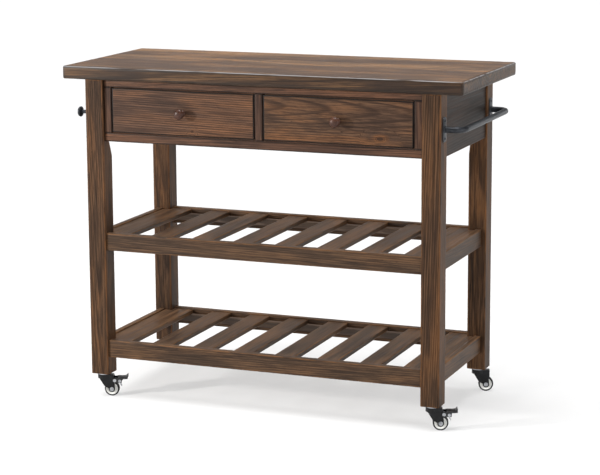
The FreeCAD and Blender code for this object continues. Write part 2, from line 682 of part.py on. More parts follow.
def runners():
    """Under each drawer side an L-shaped runner; above it a strip that stops it tipping."""
    lower = []
    upper = []
    for side in (-1, 1):
        left, right = opening(side)
        for edge, sign, other in ((left, "+", "-"), (right, "-", "+")):
            inner = size(f"{edge} {sign} runner_reach")
            outer = size(f"{edge} {other} guide_outside")
            guide = size(f"{edge} {sign} box_play {other} guide_play")
            low_x, high_x = (outer, inner) if sign == "+" else (inner, outer)
            guide_low, guide_high = (outer, guide) if sign == "+" else (guide, outer)
            ledge = box("ledge", (low_x, FACE_BACK, size(f"{OPENING_LOW} - runner_thick")),
                        (high_x, APRON_BACK_IN, OPENING_LOW))
            wall = box("guide", (guide_low, FACE_BACK, OPENING_LOW),
                       (guide_high, APRON_BACK_IN, size(f"{OPENING_LOW} + guide_tall")))
            lower.append(fuse("runner", [ledge, wall]))
            kicker_low = size(f"{BOX_LOW} + box_tall + kicker_gap")
            upper.append(box("kicker", (low_x, FACE_BACK, kicker_low),
                             (high_x, APRON_BACK_IN, size(f"{kicker_low} + runner_thick"))))
    keep("drawer_runners", group("drawer_runners", lower))
    keep("drawer_kickers", group("drawer_kickers", upper))


# ---------------------------------------------------------------- towel bar

def is_across_plate(edge):
    return edge.BoundBox.YLength + edge.BoundBox.ZLength < TINY


def towel_bar():
    """A bent tube: out from the front leg, along the side and back to the rear leg."""
    body = new_body("towel_tube")
    path = sketch_on(body, "bar_path", "XY_Plane")
    reach = size("bar_reach - flange_thick")
    run = size(f"{LEG_BACK_MID} - {LEG_FRONT_MID}")
    out, far, bend = number(reach), number(run), number(size("bar_bend"))
    middle = Vector(0, 0, 1)
    path.addGeometry(Part.LineSegment(Vector(0, 0, 0), Vector(out - bend, 0, 0)), False)
    first = Part.Circle(Vector(out - bend, bend, 0), middle, bend)
    path.addGeometry(Part.ArcOfCircle(first, -math.pi / 2, 0), False)
    path.addGeometry(Part.LineSegment(Vector(out, bend, 0), Vector(out, far - bend, 0)), False)
    second = Part.Circle(Vector(out - bend, far - bend, 0), middle, bend)
    path.addGeometry(Part.ArcOfCircle(second, 0, math.pi / 2), False)
    path.addGeometry(Part.LineSegment(Vector(out - bend, far, 0), Vector(0, far, 0)), False)
    last = path.GeometryCount - 1
    for index in range(last):
        path.addConstraint(Sketcher.Constraint("Tangent", index, 2, index + 1, 1))
    pin_point(path, 0, 1, "0", "0")
    pin_point(path, last, 2, "0", run)
    path.addConstraint([Sketcher.Constraint("Horizontal", 0), Sketcher.Constraint("Vertical", 2),
                        Sketcher.Constraint("Horizontal", last)])
    index = path.addConstraint(Sketcher.Constraint("DistanceX", -1, 1, 2, 1, out))
    path.setExpression(f"Constraints[{index}]", reach)
    for arc in (1, 3):
        index = path.addConstraint(Sketcher.Constraint("Radius", arc, bend))
        path.setExpression(f"Constraints[{index}]", size("bar_bend"))
    section = sketch_on(body, "bar_section", "YZ_Plane")
    disc(section, "0", "0", size("bar_radius"))
    disc(section, "0", "0", size("bar_radius - bar_wall"))
    pipe = body.newObject("PartDesign::AdditivePipe", "bar_pipe")
    pipe.Profile = section
    pipe.Spine = path
    place(body, size(f"{LEG_OUT} + flange_thick"), LEG_FRONT_MID, BAR_Z)
    keep("towel_bar", body)

    plates = []
    for y in (LEG_FRONT_MID, LEG_BACK_MID):
        plate = new_body("flange_blank")
        sketch = sketch_on(plate, "flange_outline", "YZ_Plane")
        half_wide, half_tall = size("flange_wide / 2"), size("flange_tall / 2")
        outline(sketch, [(f"-{half_wide}", f"-{half_tall}"), (half_wide, f"-{half_tall}"),
                         (half_wide, half_tall), (f"-{half_wide}", half_tall)])
        flat = pad(plate, sketch, size("flange_thick"))
        soften(plate, flat, size("flange_corner"), is_across_plate)
        plates.append(place(plate, LEG_OUT, y, BAR_Z))
    keep("towel_bar_flanges", cut("towel_bar_flanges", group("flange_blanks", plates), towel_screws))


# ---------------------------------------------------------------- casters
# Each caster is drawn about its own swivel axis with the wheel trailing along local X.

AXLE_X = size("caster_trail")
AXLE_Z = size("wheel_radius")
FORK_TOP = size("caster_height - race_thick - race_gap")
CROWN_LOW = size(f"{FORK_TOP} - crown_thick")
SKIRT_LOW = size(f"{FORK_TOP} - head_tall")
PLATE_TOP = size(f"{FORK_TOP} - plate_drop")
FORK_WIDE = size("plate_gap + plate_thick * 2")
GRIP = size("plate_gap / 2 + plate_thick")
CHEEK_IN = size(f"{GRIP} + cheek_play")
CHEEK_OUT = size(f"{CHEEK_IN} + cheek_thick")
BRAKE_X = size(f"{AXLE_X} + brake_pin_ahead")
BRAKE_Z = size("wheel_radius * 2 + brake_pin_rise")
TURN_COS = "cos(Size.caster_turn * 1 deg)"
TURN_SIN = "sin(Size.caster_turn * 1 deg)"


def on_caster(piece, corner):
    x, y = CORNERS[corner]
    turn(piece, Vector(0, 0, 1), SIZES["caster_turn"])
    return place(piece, x, y, "0")


def fork(corner, braked):
    body = new_body(f"fork_{corner}")
    crown = sketch_on(body, f"crown_{corner}", "XZ_Plane")
    bore = size("kingpin_radius + running_play")
    outline(crown, [(bore, FORK_TOP), (size("head_radius"), FORK_TOP), (size("head_radius"), SKIRT_LOW),
                    (size("head_radius - skirt_thick"), SKIRT_LOW),
                    (size("head_radius - skirt_thick"), CROWN_LOW), (bore, CROWN_LOW)])
    head = body.newObject("PartDesign::Revolution", f"head_{corner}")
    head.Profile = crown
    head.ReferenceAxis = (crown, ["V_Axis"])
    head.Angle = 360.0

    front_x = size(f"{AXLE_X} + plain_front_ahead")
    plates = sketch_on(body, f"plates_{corner}", "XZ_Plane")
    outline(plates, [(size("-plate_back"), PLATE_TOP), (size("-plate_back"), SKIRT_LOW),
                     ("0", size(f"{AXLE_Z} + knee_rise")),
                     (size(f"{AXLE_X} - waist_back"), size(f"{AXLE_Z} + waist_rise")),
                     (AXLE_X, size(f"{AXLE_Z} - eye_radius / 2")),
                     (size(f"{AXLE_X} + eye_radius"), AXLE_Z),
                     (size(f"{AXLE_X} + plate_front_ahead"), size(f"{AXLE_Z} + plate_front_rise")),
                     (BRAKE_X if braked else front_x, BRAKE_Z),
                     (size(f"{AXLE_X} + plate_top_ahead") if braked else front_x, PLATE_TOP)])
    pad(body, plates, FORK_WIDE, True)
    eye = sketch_on(body, f"eye_{corner}", "XZ_Plane")
    disc(eye, AXLE_X, AXLE_Z, size("eye_radius"))
    pad(body, eye, FORK_WIDE, True)
    if braked:
        boss = sketch_on(body, f"boss_{corner}", "XZ_Plane")
        disc(boss, BRAKE_X, BRAKE_Z, size("boss_radius"))
        pad(body, boss, FORK_WIDE, True)

    slot = sketch_on(body, f"slot_{corner}", "XZ_Plane")
    throat = size("head_radius - skirt_thick * 2 - plate_thick")
    far = size(f"{BRAKE_X} + boss_radius * 2")
    under = size(f"{AXLE_Z} - eye_radius * 2")
    outline(slot, [(f"-{far}", under), (far, under), (far, CROWN_LOW), (f"-{throat}", CROWN_LOW),
                   (f"-{throat}", SKIRT_LOW), (f"-{far}", SKIRT_LOW)])
    pocket(body, slot, size("plate_gap"))
    holes = sketch_on(body, f"pin_holes_{corner}", "XZ_Plane")
    disc(holes, AXLE_X, AXLE_Z, size("axle_radius"))
    if braked:
        disc(holes, BRAKE_X, BRAKE_Z, size("brake_pin_radius"))
    pocket(body, holes, size(f"{FORK_WIDE} * 2"))
    return body


def kingpin_hole(corner):
    """Clears the crown round the kingpin where the side plates closed it again."""
    return rod(f"kingpin_hole_{corner}", size("kingpin_radius + running_play"), size("head_tall * 2"),
               (CORNERS[corner][0], CORNERS[corner][1], FORK_TOP), "Z")


def on_axle(piece, corner):
    """Lays a turned piece along the wheel's axle."""
    heading = Rotation(Vector(0, 0, 1), SIZES["caster_turn"])
    piece.Placement = Placement(Vector(0, 0, 0), heading * Rotation(Vector(1, 0, 0), 90))
    return shift_along_axle(piece, corner, AXLE_X, "0")


def shift_along_axle(piece, corner, trail, along, height=AXLE_Z):
    """Places a piece that lies along the axle's direction at a trail and an offset."""
    x, y = CORNERS[corner]
    return place(piece, f"{x} + {trail} * {TURN_COS} - {along} * {TURN_SIN}",
                 f"{y} + {trail} * {TURN_SIN} + {along} * {TURN_COS}", height)


def wheel(corner):
    half = size("tyre_wide / 2")
    seat = size("wheel_radius - tyre_thick")
    tread = size("wheel_radius")
    tyre = revolve(f"tyre_{corner}", [(seat, f"-{half}"), (tread, f"-{half}"), (tread, half), (seat, half)])

    def is_tread_edge(edge):
        circle = edge.BoundBox
        return circle.ZLength < TINY and circle.XLength > 2 * number(seat) + TINY

    soften(tyre, tyre.Tip, size("tyre_round"), is_tread_edge)
    keep(f"caster_{corner}_tyre", on_axle(tyre, corner))
    bore = size("axle_radius + running_play")
    boss = size("hub_wide / 2")
    web = size("hub_web / 2")
    inner_rim = size(f"{seat} - rim_lip")
    hub = revolve(f"hub_{corner}", [
        (bore, f"-{boss}"), (size("hub_boss_radius"), f"-{boss}"), (size("hub_boss_radius"), f"-{web}"),
        (inner_rim, f"-{web}"), (inner_rim, f"-{half}"), (seat, f"-{half}"), (seat, half),
        (inner_rim, half), (inner_rim, web), (size("hub_boss_radius"), web),
        (size("hub_boss_radius"), boss), (bore, boss),
    ])
    keep(f"caster_{corner}_hub", on_axle(hub, corner))


def rivet(name, radius, head_radius, grip):
    """A rivet with a head at each end, whose heads start at the grip on both sides of the middle."""
    outer = size(f"{grip} + brake_pin_head_thick")
    return revolve(name, [
        ("0", f"-{outer}"), (head_radius, f"-{outer}"), (head_radius, f"-{grip}"), (radius, f"-{grip}"),
        (radius, grip), (head_radius, grip), (head_radius, outer), ("0", outer),
    ])


def caster_pins(corner, braked):
    """The axle bolt, its nut and, on a braked caster, the lever's rivet."""
    outer = size(f"{GRIP} + axle_head_thick")
    tail = size(f"{GRIP} + axle_tail")
    bolt = revolve(f"axle_{corner}", [
        ("0", f"-{tail}"), (size("axle_radius"), f"-{tail}"), (size("axle_radius"), GRIP),
        (size("axle_head_radius"), GRIP), (size("axle_head_radius"), outer), ("0", outer),
    ])
    nut = new_body(f"axle_nut_{corner}")
    flats = sketch_on(nut, f"nut_flats_{corner}", "XY_Plane")
    half = size("axle_head_radius / 2")
    side = "(Size.axle_head_radius * sin(60 deg))"
    outline(flats, [(size("axle_head_radius"), "0"), (half, side), (f"-{half}", side),
                    (size("-axle_head_radius"), "0"), (f"-{half}", f"-{side}"), (half, f"-{side}")])
    disc(flats, "0", "0", size("axle_radius"))
    pad(nut, flats, size("axle_head_thick"))
    pieces = [on_axle(bolt, corner), on_axle(nut, corner)]
    shift_along_axle(nut, corner, AXLE_X, outer)
    if braked:
        pivot = rivet(f"brake_rivet_{corner}", size("brake_pin_radius"), size("brake_pin_head"),
                      size(f"{CHEEK_OUT} + cheek_play"))
        on_axle(pivot, corner)
        pieces.append(shift_along_axle(pivot, corner, BRAKE_X, "0", BRAKE_Z))
    keep(f"caster_{corner}_pins", group(f"caster_{corner}_pins", pieces))


def brake(corner):
    """A pedal whose two cheeks straddle the fork, the leaf under it and the rivet across it."""
    body = new_body(f"lever_{corner}")
    cheek_gap = size(f"{CHEEK_IN} * 2")
    wide = size(f"{CHEEK_OUT} * 2")
    shape = sketch_on(body, f"lever_outline_{corner}", "XZ_Plane")

    def ahead(offset):
        return size(f"{BRAKE_X} + {offset}")

    def above(offset):
        return size(f"{BRAKE_Z} + {offset}")

    outline(shape, [
        (BRAKE_X, above("-cheek_radius")), (ahead("cheek_ahead"), above("-cheek_drop")),
        (ahead("pedal_ahead"), above("pedal_rim_rise")),
        (ahead("pedal_end_ahead"), above("pedal_rim_rise + pedal_dip")),
        (ahead("pedal_end_ahead"), above("pedal_lip_rise")),
        (ahead("pedal_end_ahead - pedal_lip_thick"), above("pedal_lip_rise")),
        (ahead("pedal_end_ahead - pedal_lip_run"), above("bridge_rise + pedal_dip")),
        (ahead("pedal_ahead"), above("bridge_rise")), (ahead("bridge_ahead"), above("bridge_rise")),
        (BRAKE_X, above("cheek_radius")),
    ])
    pad(body, shape, wide, True)
    eye = sketch_on(body, f"lever_eye_{corner}", "XZ_Plane")
    disc(eye, BRAKE_X, BRAKE_Z, size("cheek_radius"))
    pad(body, eye, wide, True)
    hollow = sketch_on(body, f"lever_hollow_{corner}", "XZ_Plane")
    roof = above("bridge_rise - pedal_thick")
    floor = above("-cheek_drop - cheek_radius")
    hollow_back = ahead("-cheek_ahead")
    hollow_front = ahead("pedal_end_ahead - pedal_thick")
    outline(hollow, [
        (hollow_back, floor), (hollow_front, floor), (hollow_front, roof),
        (ahead("bridge_ahead"), roof), (ahead("bridge_ahead"), above("pedal_lip_rise")),
        (hollow_back, above("pedal_lip_rise")),
    ])
    pocket(body, hollow, cheek_gap)
    hole = sketch_on(body, f"lever_hole_{corner}", "XZ_Plane")
    disc(hole, BRAKE_X, BRAKE_Z, size("brake_pin_radius + running_play"))
    cross_x, cross_z = ahead("cross_pin_ahead"), above("-cross_pin_drop")
    disc(hole, cross_x, cross_z, size("cross_pin_radius"))
    pocket(body, hole, size(f"{wide} * 2"))
    keep(f"caster_{corner}_brake_lever", on_caster(body, corner))

    leaf = new_body(f"leaf_{corner}")
    strip = sketch_on(leaf, f"leaf_outline_{corner}", "XZ_Plane")
    knee_z = above("-leaf_knee_drop")
    end_x = size(f"{AXLE_X} + wheel_radius + leaf_gap")
    end_z = size(f"{AXLE_Z} + leaf_end_rise")
    outline(strip, [
        (ahead("leaf_top_ahead"), roof), (ahead("leaf_knee_ahead"), knee_z), (end_x, end_z),
        (size(f"{end_x} + leaf_thick"), size(f"{end_z} + leaf_slant")),
        (ahead("leaf_knee_ahead + leaf_thick"), knee_z), (ahead("leaf_top_ahead + leaf_thick"), roof),
    ])
    pad(leaf, strip, size("leaf_wide"), True)
    cross = rivet(f"cross_rivet_{corner}", size("cross_pin_radius"), size("cross_pin_head"), CHEEK_OUT)
    on_axle(cross, corner)
    shift_along_axle(cross, corner, cross_x, "0", cross_z)
    keep(f"caster_{corner}_brake_leaf",
         group(f"caster_{corner}_brake_leaf", [on_caster(leaf, corner), cross]))


def casters():
    for corner in CORNERS:
        braked = corner.startswith("front")
        shell = on_caster(fork(corner, braked), corner)
        keep(f"caster_{corner}_fork", cut(f"caster_{corner}_fork", shell, kingpin_hole(corner)))
        wheel(corner)
        caster_pins(corner, braked)
        if braked:
            brake(corner)


# ---------------------------------------------------------------- the whole cart

worktop()
legs()
aprons()
face_frame()
top_cleats()
for shelf in ("mid", "low"):
    shelf_rails(shelf)
    shelf_slats(shelf)
side_rails()
shelf_cleats()
drawer("left", -1)
drawer("right", 1)
runners()
towel_bar()
casters()
doc.recompute()

for item in doc.Objects:
    if "Invalid" in item.State or "Error" in item.State:
        raise RuntimeError(f"{item.Label} failed: {item.State}")
for name, piece in nodes.items():
    if piece.Shape.isNull() or not piece.Shape.isValid():
        raise RuntimeError(f"{name} has no valid shape")
    if not piece.Shape.Solids:
        raise RuntimeError(f"{name} has no solid")

os.makedirs("parts", exist_ok=True)
for name, piece in nodes.items():
    piece.Shape.exportStep(f"parts/{name}.step")
    print(name, len(piece.Shape.Solids), round(piece.Shape.Volume / 1000, 2), "cm3")
print(len(nodes), "nodes")
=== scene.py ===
import math
import random

import bmesh
import bpy
from mathutils import Matrix, Vector


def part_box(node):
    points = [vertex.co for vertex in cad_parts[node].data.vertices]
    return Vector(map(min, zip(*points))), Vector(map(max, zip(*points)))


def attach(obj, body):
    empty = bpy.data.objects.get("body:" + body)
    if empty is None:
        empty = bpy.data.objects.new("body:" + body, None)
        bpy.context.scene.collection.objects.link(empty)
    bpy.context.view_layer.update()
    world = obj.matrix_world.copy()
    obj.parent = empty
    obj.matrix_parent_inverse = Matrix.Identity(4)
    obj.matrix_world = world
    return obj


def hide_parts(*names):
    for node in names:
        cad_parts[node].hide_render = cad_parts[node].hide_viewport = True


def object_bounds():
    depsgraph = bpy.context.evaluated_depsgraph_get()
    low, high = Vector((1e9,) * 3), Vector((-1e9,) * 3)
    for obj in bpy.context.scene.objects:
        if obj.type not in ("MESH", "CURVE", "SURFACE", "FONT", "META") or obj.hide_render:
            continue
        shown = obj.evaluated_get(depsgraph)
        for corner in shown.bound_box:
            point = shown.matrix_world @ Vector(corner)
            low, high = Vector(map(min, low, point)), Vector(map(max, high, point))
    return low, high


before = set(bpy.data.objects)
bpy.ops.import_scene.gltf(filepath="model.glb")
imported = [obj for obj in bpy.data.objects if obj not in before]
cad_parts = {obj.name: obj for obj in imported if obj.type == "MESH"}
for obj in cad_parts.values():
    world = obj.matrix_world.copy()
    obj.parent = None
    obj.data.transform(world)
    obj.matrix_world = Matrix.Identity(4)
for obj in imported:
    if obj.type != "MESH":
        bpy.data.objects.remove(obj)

cad_low, cad_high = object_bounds()
MM = 0.001
CORNERS = ("front_left", "front_right", "back_left", "back_right")
CASTER_HEADING = math.radians(20)
FOLD_ANGLE = math.radians(28)
AXLE = Vector((-math.sin(CASTER_HEADING), math.cos(CASTER_HEADING), 0))

EASE = 1.3 * MM
EASE_STEPS = 3
FINE_EASE_STEPS = 4
WORN_AND_SHADED_EDGE = 4.5 * MM
BROAD_FACE = 2.4  # how many edge bands (for wear and painted edge shade) wide a face is before it counts as broad
SAME_PLACE = 1e-7


# ---------------------------------------------------------------- node helpers

def linear(red, green, blue):
    """An 8-bit shade as the linear colour a shader wants."""
    def one(value):
        value /= 255
        return value / 12.92 if value <= 0.04045 else ((value + 0.055) / 1.055) ** 2.4
    return one(red), one(green), one(blue), 1


class Recipe:
    """A material's nodes, added one after another."""

    def __init__(self, name):
        self.material = bpy.data.materials.new(name)
        self.material.use_nodes = True
        self.tree = self.material.node_tree
        self.shader = self.tree.nodes["Principled BSDF"]

    def plug(self, socket, value):
        if isinstance(value, bpy.types.NodeSocket):
            self.tree.links.new(value, socket)
        else:
            socket.default_value = value

    def add(self, kind, inputs=None, out=0, **settings):
        node = self.tree.nodes.new(f"ShaderNode{kind}")
        for key, value in settings.items():
            setattr(node, key, value)
        for key, value in (inputs or {}).items():
            self.plug(node.inputs[key], value)
        return node.outputs[out]

    def sum(self, operation, first, second=0.0, third=0.0):
        return self.add("Math", {0: first, 1: second, 2: third}, operation=operation)

    def vector(self, operation, first, second=(0, 0, 0)):
        out = 1 if operation == "LENGTH" else 0
        return self.add("VectorMath", {0: first, 1: second}, out, operation=operation)

    def stretched(self, where, stretch):
        return self.vector("MULTIPLY", where, stretch)

    def cloud(self, where, scale=1.0, detail=2.0, rough=0.5, twist=0.0):
        return self.add("TexNoise", {"Vector": where, "Scale": scale, "Detail": detail,
                                     "Roughness": rough, "Distortion": twist})

    def band(self, value, low, high, to_low=0.0, to_high=1.0):
        return self.add("MapRange", {0: value, 1: low, 2: high, 3: to_low, 4: to_high},
                        interpolation_type="SMOOTHSTEP")

    def split(self, value):
        node = self.tree.nodes.new("ShaderNodeSeparateXYZ")
        self.plug(node.inputs[0], value)
        return node.outputs

    def blend(self, amount, first, second):
        node = self.tree.nodes.new("ShaderNodeMix")
        node.data_type = "RGBA"
        self.plug(node.inputs[0], amount)
        self.plug(node.inputs[6], first)
        self.plug(node.inputs[7], second)
        return node.outputs[2]

    def bump(self, height, strength, depth):
        return self.add("Bump", {"Height": height, "Strength": strength, "Distance": depth})

    def give(self, **values):
        for key, value in values.items():
            self.plug(self.shader.inputs[key.replace("_", " ")], value)
        return self.material


def grain_place(recipe, run):
    """Where the wood is cut from: along the grain first, then across it."""
    if run == "board":
        return recipe.add("Attribute", out=1, attribute_name="grain")
    place = recipe.add("TexCoord", out=3)
    order = {"x": (0, 1, 2), "y": (1, 0, 2)}[run]
    parts = recipe.split(place)
    return recipe.add("CombineXYZ", {slot: parts[axis] for slot, axis in enumerate(order)})


# ---------------------------------------------------------------- finishes

def glued_planks(wood, place, plank_wide):
    """Cut each glued plank from another part of the tree: place, tone and seam."""
    plank = wood.sum("DIVIDE", wood.split(place)[1], plank_wide)
    chance = wood.add("TexWhiteNoise", {"W": wood.sum("FLOOR", plank)}, noise_dimensions="1D")
    tone = wood.sum("SUBTRACT", chance, 0.5)
    seam = wood.band(wood.sum("PINGPONG", plank, 0.5), 0.0, 0.012, 1, 0)
    moved = wood.vector("ADD", place, wood.add("CombineXYZ", {
        0: wood.sum("MULTIPLY", chance, 17.0), 1: wood.sum("MULTIPLY", tone, 0.05)}))
    return moved, tone, seam


def knotted(wood, heart, sway, knots):
    """Bend the year rings round each knot: rings, dark centres and warm surrounds."""
    dark = glow = 0.0
    for centre, size, squash in knots:
        away = wood.vector("SUBTRACT", wood.add("TexCoord", out=3), centre)
        reach = wood.vector("LENGTH", wood.stretched(away, squash))
        reach = wood.sum("MULTIPLY_ADD", sway, size * 0.5, reach)
        near = wood.band(reach, size, size * 4.2, 1, 0)
        ringed = wood.sum("MULTIPLY", reach, 1.4)
        heart = wood.sum("ADD", wood.sum("MULTIPLY", heart, wood.sum("SUBTRACT", 1.0, near)),
                         wood.sum("MULTIPLY", ringed, near))
        dark = wood.sum("MAXIMUM", wood.band(reach, size * 0.35, size * 0.85, 1, 0), dark)
        glow = wood.sum("MAXIMUM", wood.band(reach, size * 0.8, size * 2.2, 1, 0), glow)
    return heart, dark, glow


def rubbed_edges(wood, place, colour, wear, rubbed_to, dark_edge):
    """Rub the eased corners through in patches, then darken the edges: painted shade of the dark
    gaps round the drawers and frame, partly stain on the worktop's edges.
    """
    edge = wood.add("Attribute", out=2, attribute_name="edge")
    patchy = wood.cloud(wood.stretched(place, (22, 120, 120)), detail=3)
    rubbed = wood.sum("MULTIPLY", wood.band(edge, 0.35, 1.0), wood.band(patchy, 0.36, 0.62))
    colour = wood.blend(wood.sum("MULTIPLY", rubbed, wear), colour, rubbed_to)
    if dark_edge:
        # Painted shade: the edges go near black for the dark gaps round the drawers and along the
        # face frame; on the worktop this is partly stain at its edges.
        edge_stain_and_shade = wood.sum("MULTIPLY", wood.band(edge, 0.4, 0.85), dark_edge)
        colour = wood.blend(edge_stain_and_shade, colour, linear(15, 9, 6))
    return colour


def paler_upward(wood, place, colour, painted_top_light, painted_arris_highlight):
    """Paint light onto faces that look up, and a painted highlight on the rounding beside them."""
    facing = wood.split(wood.add("TexCoord", out=1))[2]
    # Painted light: faces that look up are made paler.
    lighter = wood.sum("MULTIPLY_ADD", wood.band(facing, 0.5, 0.95), painted_top_light, 1.0)
    colour = wood.add("HueSaturation", {"Value": lighter, "Color": colour})
    if painted_arris_highlight:
        rounding = wood.sum("MULTIPLY", wood.band(facing, 0.3, 0.55),
                            wood.band(facing, 0.8, 0.95, 1, 0))
        patchy = wood.cloud(wood.stretched(place, (7, 40, 40)), detail=3)
        arris_highlight_mask = wood.sum("MULTIPLY", rounding, wood.band(patchy, 0.36, 0.56))
        # Painted highlight: pale grey patches on the rounding beside faces that look up.
        colour = wood.blend(wood.sum("MULTIPLY", arris_highlight_mask, painted_arris_highlight), colour, linear(150, 150, 152))
    return colour


def stained_pine(name, pale, deep, orange, line, ring_gap=6.5 * MM, ring_depth=0.55, streak=0.6,
                 orange_share=0.5, knots=(), gloss=0.5, wear=0.5, sway_deep=20 * MM,
                 tremble_deep=1.6 * MM, dark_edge=0.0, glued=0.0, polish=0.16, rubbed_to=None,
                 painted_top_light=0.0, painted_arris_highlight=0.0):
    """Knotty pine under a thin grey-brown stain, rubbed through along its edges. Where asked it
    also takes painted shade along its edges, painted light on faces that look up and a painted
    highlight on the rounding beside them.
    """
    wood = Recipe(name)
    place = grain_place(wood, "board")
    plank_tone = seam = 0.0
    if glued:
        place, plank_tone, seam = glued_planks(wood, place, glued)

    # the year rings: distance from the heart, swaying along the board
    sway = wood.cloud(wood.stretched(place, (1.0, 5, 5)), detail=1.5)
    sway = wood.sum("SUBTRACT", sway, 0.5)
    tremble = wood.cloud(wood.stretched(place, (5, 34, 34)), detail=2)
    heart = wood.vector("LENGTH", wood.stretched(place, (0, 1, 1)))
    heart = wood.sum("MULTIPLY_ADD", sway, sway_deep, heart)
    heart = wood.sum("MULTIPLY_ADD", tremble, tremble_deep, heart)
    heart, knot_dark, knot_glow = knotted(wood, heart, sway, knots)
    year = wood.sum("FRACT", wood.sum("DIVIDE", heart, ring_gap))
    late = wood.sum("MULTIPLY", wood.band(year, 0.42, 0.8), wood.band(year, 0.84, 1.0, 1, 0))

    # the grain between them, from long streaks down to pores
    streaks = wood.cloud(wood.stretched(place, (2.4, 250, 250)), detail=5, rough=0.7)
    fibres = wood.cloud(wood.stretched(place, (8, 620, 620)), detail=3, rough=0.65)
    pores = wood.cloud(wood.stretched(place, (60, 2100, 2100)), detail=1)
    patches = wood.cloud(wood.stretched(place, (2.6, 17, 17)), detail=3, rough=0.6, twist=0.5)
    blotch = wood.cloud(wood.stretched(place, (9, 26, 26)), detail=4, rough=0.65)
    tone = wood.sum("MULTIPLY_ADD", streaks, 0.55, wood.sum("MULTIPLY", patches, 0.55))
    tone = wood.band(wood.sum("MULTIPLY_ADD", plank_tone, 0.22, tone), 0.43, 0.67)
    colour = wood.blend(tone, deep, pale)
    warm = wood.sum("MULTIPLY", wood.band(patches, 0.42, 0.68), orange_share)
    warm = wood.sum("MAXIMUM", warm, wood.sum("MULTIPLY", knot_glow, 0.75))
    colour = wood.blend(warm, colour, orange)
    dents = wood.add("TexVoronoi", {"Vector": wood.stretched(place, (26, 60, 60)), "Scale": 1.0})
    dent = wood.sum("MULTIPLY", wood.band(dents, 0.05, 0.14, 1, 0),
                    wood.band(blotch, 0.52, 0.6))
    for mark, strength, stain in (
            (late, ring_depth, line), (wood.band(streaks, 0.49, 0.36), streak, line),
            (wood.band(fibres, 0.53, 0.38), 0.72, line),
            (wood.band(blotch, 0.55, 0.35), 0.24, deep), (knot_dark, 0.85, line),
            (dent, 0.7, line), (seam, 0.55, line)):
        colour = wood.blend(wood.sum("MULTIPLY", mark, strength), colour, stain)

    # Wear rubbed through at the edges, then painted gap shade along them.
    colour = rubbed_edges(wood, place, colour, wear, rubbed_to or orange, dark_edge)
    # Faces that look up take painted light.
    if painted_top_light:
        colour = paler_upward(wood, place, colour, painted_top_light, painted_arris_highlight)
    height = wood.sum("MULTIPLY_ADD", late, 0.6, wood.sum("MULTIPLY", fibres, 0.5))
    height = wood.sum("MULTIPLY_ADD", pores, 0.2, height)
    height = wood.sum("MULTIPLY_ADD", dent, -0.9, height)
    finish = wood.sum("MULTIPLY_ADD", fibres, 0.25, gloss - 0.12)
    finish = wood.sum("MULTIPLY_ADD", late, -0.07, finish)
    return wood.give(Base_Color=colour, Roughness=finish, Specular_IOR_Level=polish,
                     Normal=wood.bump(height, 0.45, 0.4 * MM))


def plain_pine(name, pale, deep, run):
    """Bare planed wood, for drawer boxes and hidden joinery."""
    wood = Recipe(name)
    place = grain_place(wood, run)
    sway = wood.cloud(wood.stretched(place, (2, 11, 11)), detail=2)
    heart = wood.sum("MULTIPLY_ADD", sway, 40 * MM, wood.vector("LENGTH", wood.stretched(
        wood.vector("ADD", place, (0, 0.03, 0.06)), (0, 1, 1))))
    year = wood.sum("FRACT", wood.sum("DIVIDE", heart, 6 * MM))
    late = wood.sum("MULTIPLY", wood.band(year, 0.3, 0.9), wood.band(year, 0.92, 1.0, 1, 0))
    fibres = wood.cloud(wood.stretched(place, (24, 800, 800)), detail=3, rough=0.6)
    patches = wood.cloud(wood.stretched(place, (3, 20, 20)), detail=3)
    colour = wood.blend(wood.band(patches, 0.35, 0.65), deep, pale)
    colour = wood.blend(wood.sum("MULTIPLY", late, 0.5), colour, deep)
    colour = wood.blend(wood.sum("MULTIPLY", wood.band(fibres, 0.5, 0.3), 0.3), colour, deep)
    height = wood.sum("MULTIPLY_ADD", late, 0.4, fibres)
    return wood.give(Base_Color=colour, Roughness=wood.sum("MULTIPLY_ADD", fibres, 0.2, 0.5),
                     Normal=wood.bump(height, 0.3, 0.25 * MM))


def worked_metal(name, dark, pale, shine, rough, grain=900.0, dimple=0.1, metallic=1.0,
                 wear=None):
    """Metal with a slightly uneven skin: plated, blacked or painted."""
    metal = Recipe(name)
    place = metal.add("TexCoord", out=3)
    skin = metal.cloud(place, grain, 3, 0.6)
    handled = metal.cloud(place, grain / 16, 4, 0.65)
    hammered = metal.cloud(place, grain / 5, 2)
    colour = metal.blend(metal.band(handled, 0.32, 0.7), dark, pale)
    colour = metal.blend(metal.sum("MULTIPLY", metal.band(skin, 0.55, 0.4), 0.25), colour, dark)
    if wear is not None:
        scuffs = metal.cloud(metal.stretched(place, (1, 1, 2.2)), grain / 3, 4, 0.7)
        scuffed = metal.sum("MULTIPLY", metal.band(scuffs, 0.62, 0.72), 0.6)
        colour = metal.blend(scuffed, colour, wear)
    finish = metal.sum("MULTIPLY_ADD", handled, 0.28, rough - 0.14)
    finish = metal.sum("MULTIPLY_ADD", skin, 0.1, finish)
    height = metal.sum("MULTIPLY_ADD", hammered, 0.8, metal.sum("MULTIPLY", skin, 0.4))
    return metal.give(Base_Color=colour, Metallic=metallic, Roughness=finish,
                      Specular_IOR_Level=shine, Normal=metal.bump(height, dimple, 0.2 * MM))


def moulded(name, base, dusty, rough, grain, depth, shine=0.4):
    """Moulded rubber or plastic, a little dusty, with a fine moulded skin."""
    mould = Recipe(name)
    place = mould.add("TexCoord", out=3)
    skin = mould.cloud(place, grain, 2, 0.6)
    dust = mould.cloud(place, 75.0, 4, 0.65)
    colour = mould.blend(mould.sum("MULTIPLY", mould.band(dust, 0.45, 0.75), 0.5), base, dusty)
    finish = mould.sum("MULTIPLY_ADD", dust, 0.25, rough - 0.1)
    return mould.give(Base_Color=colour, Roughness=finish, Specular_IOR_Level=shine,
                      Normal=mould.bump(skin, 0.25, depth))
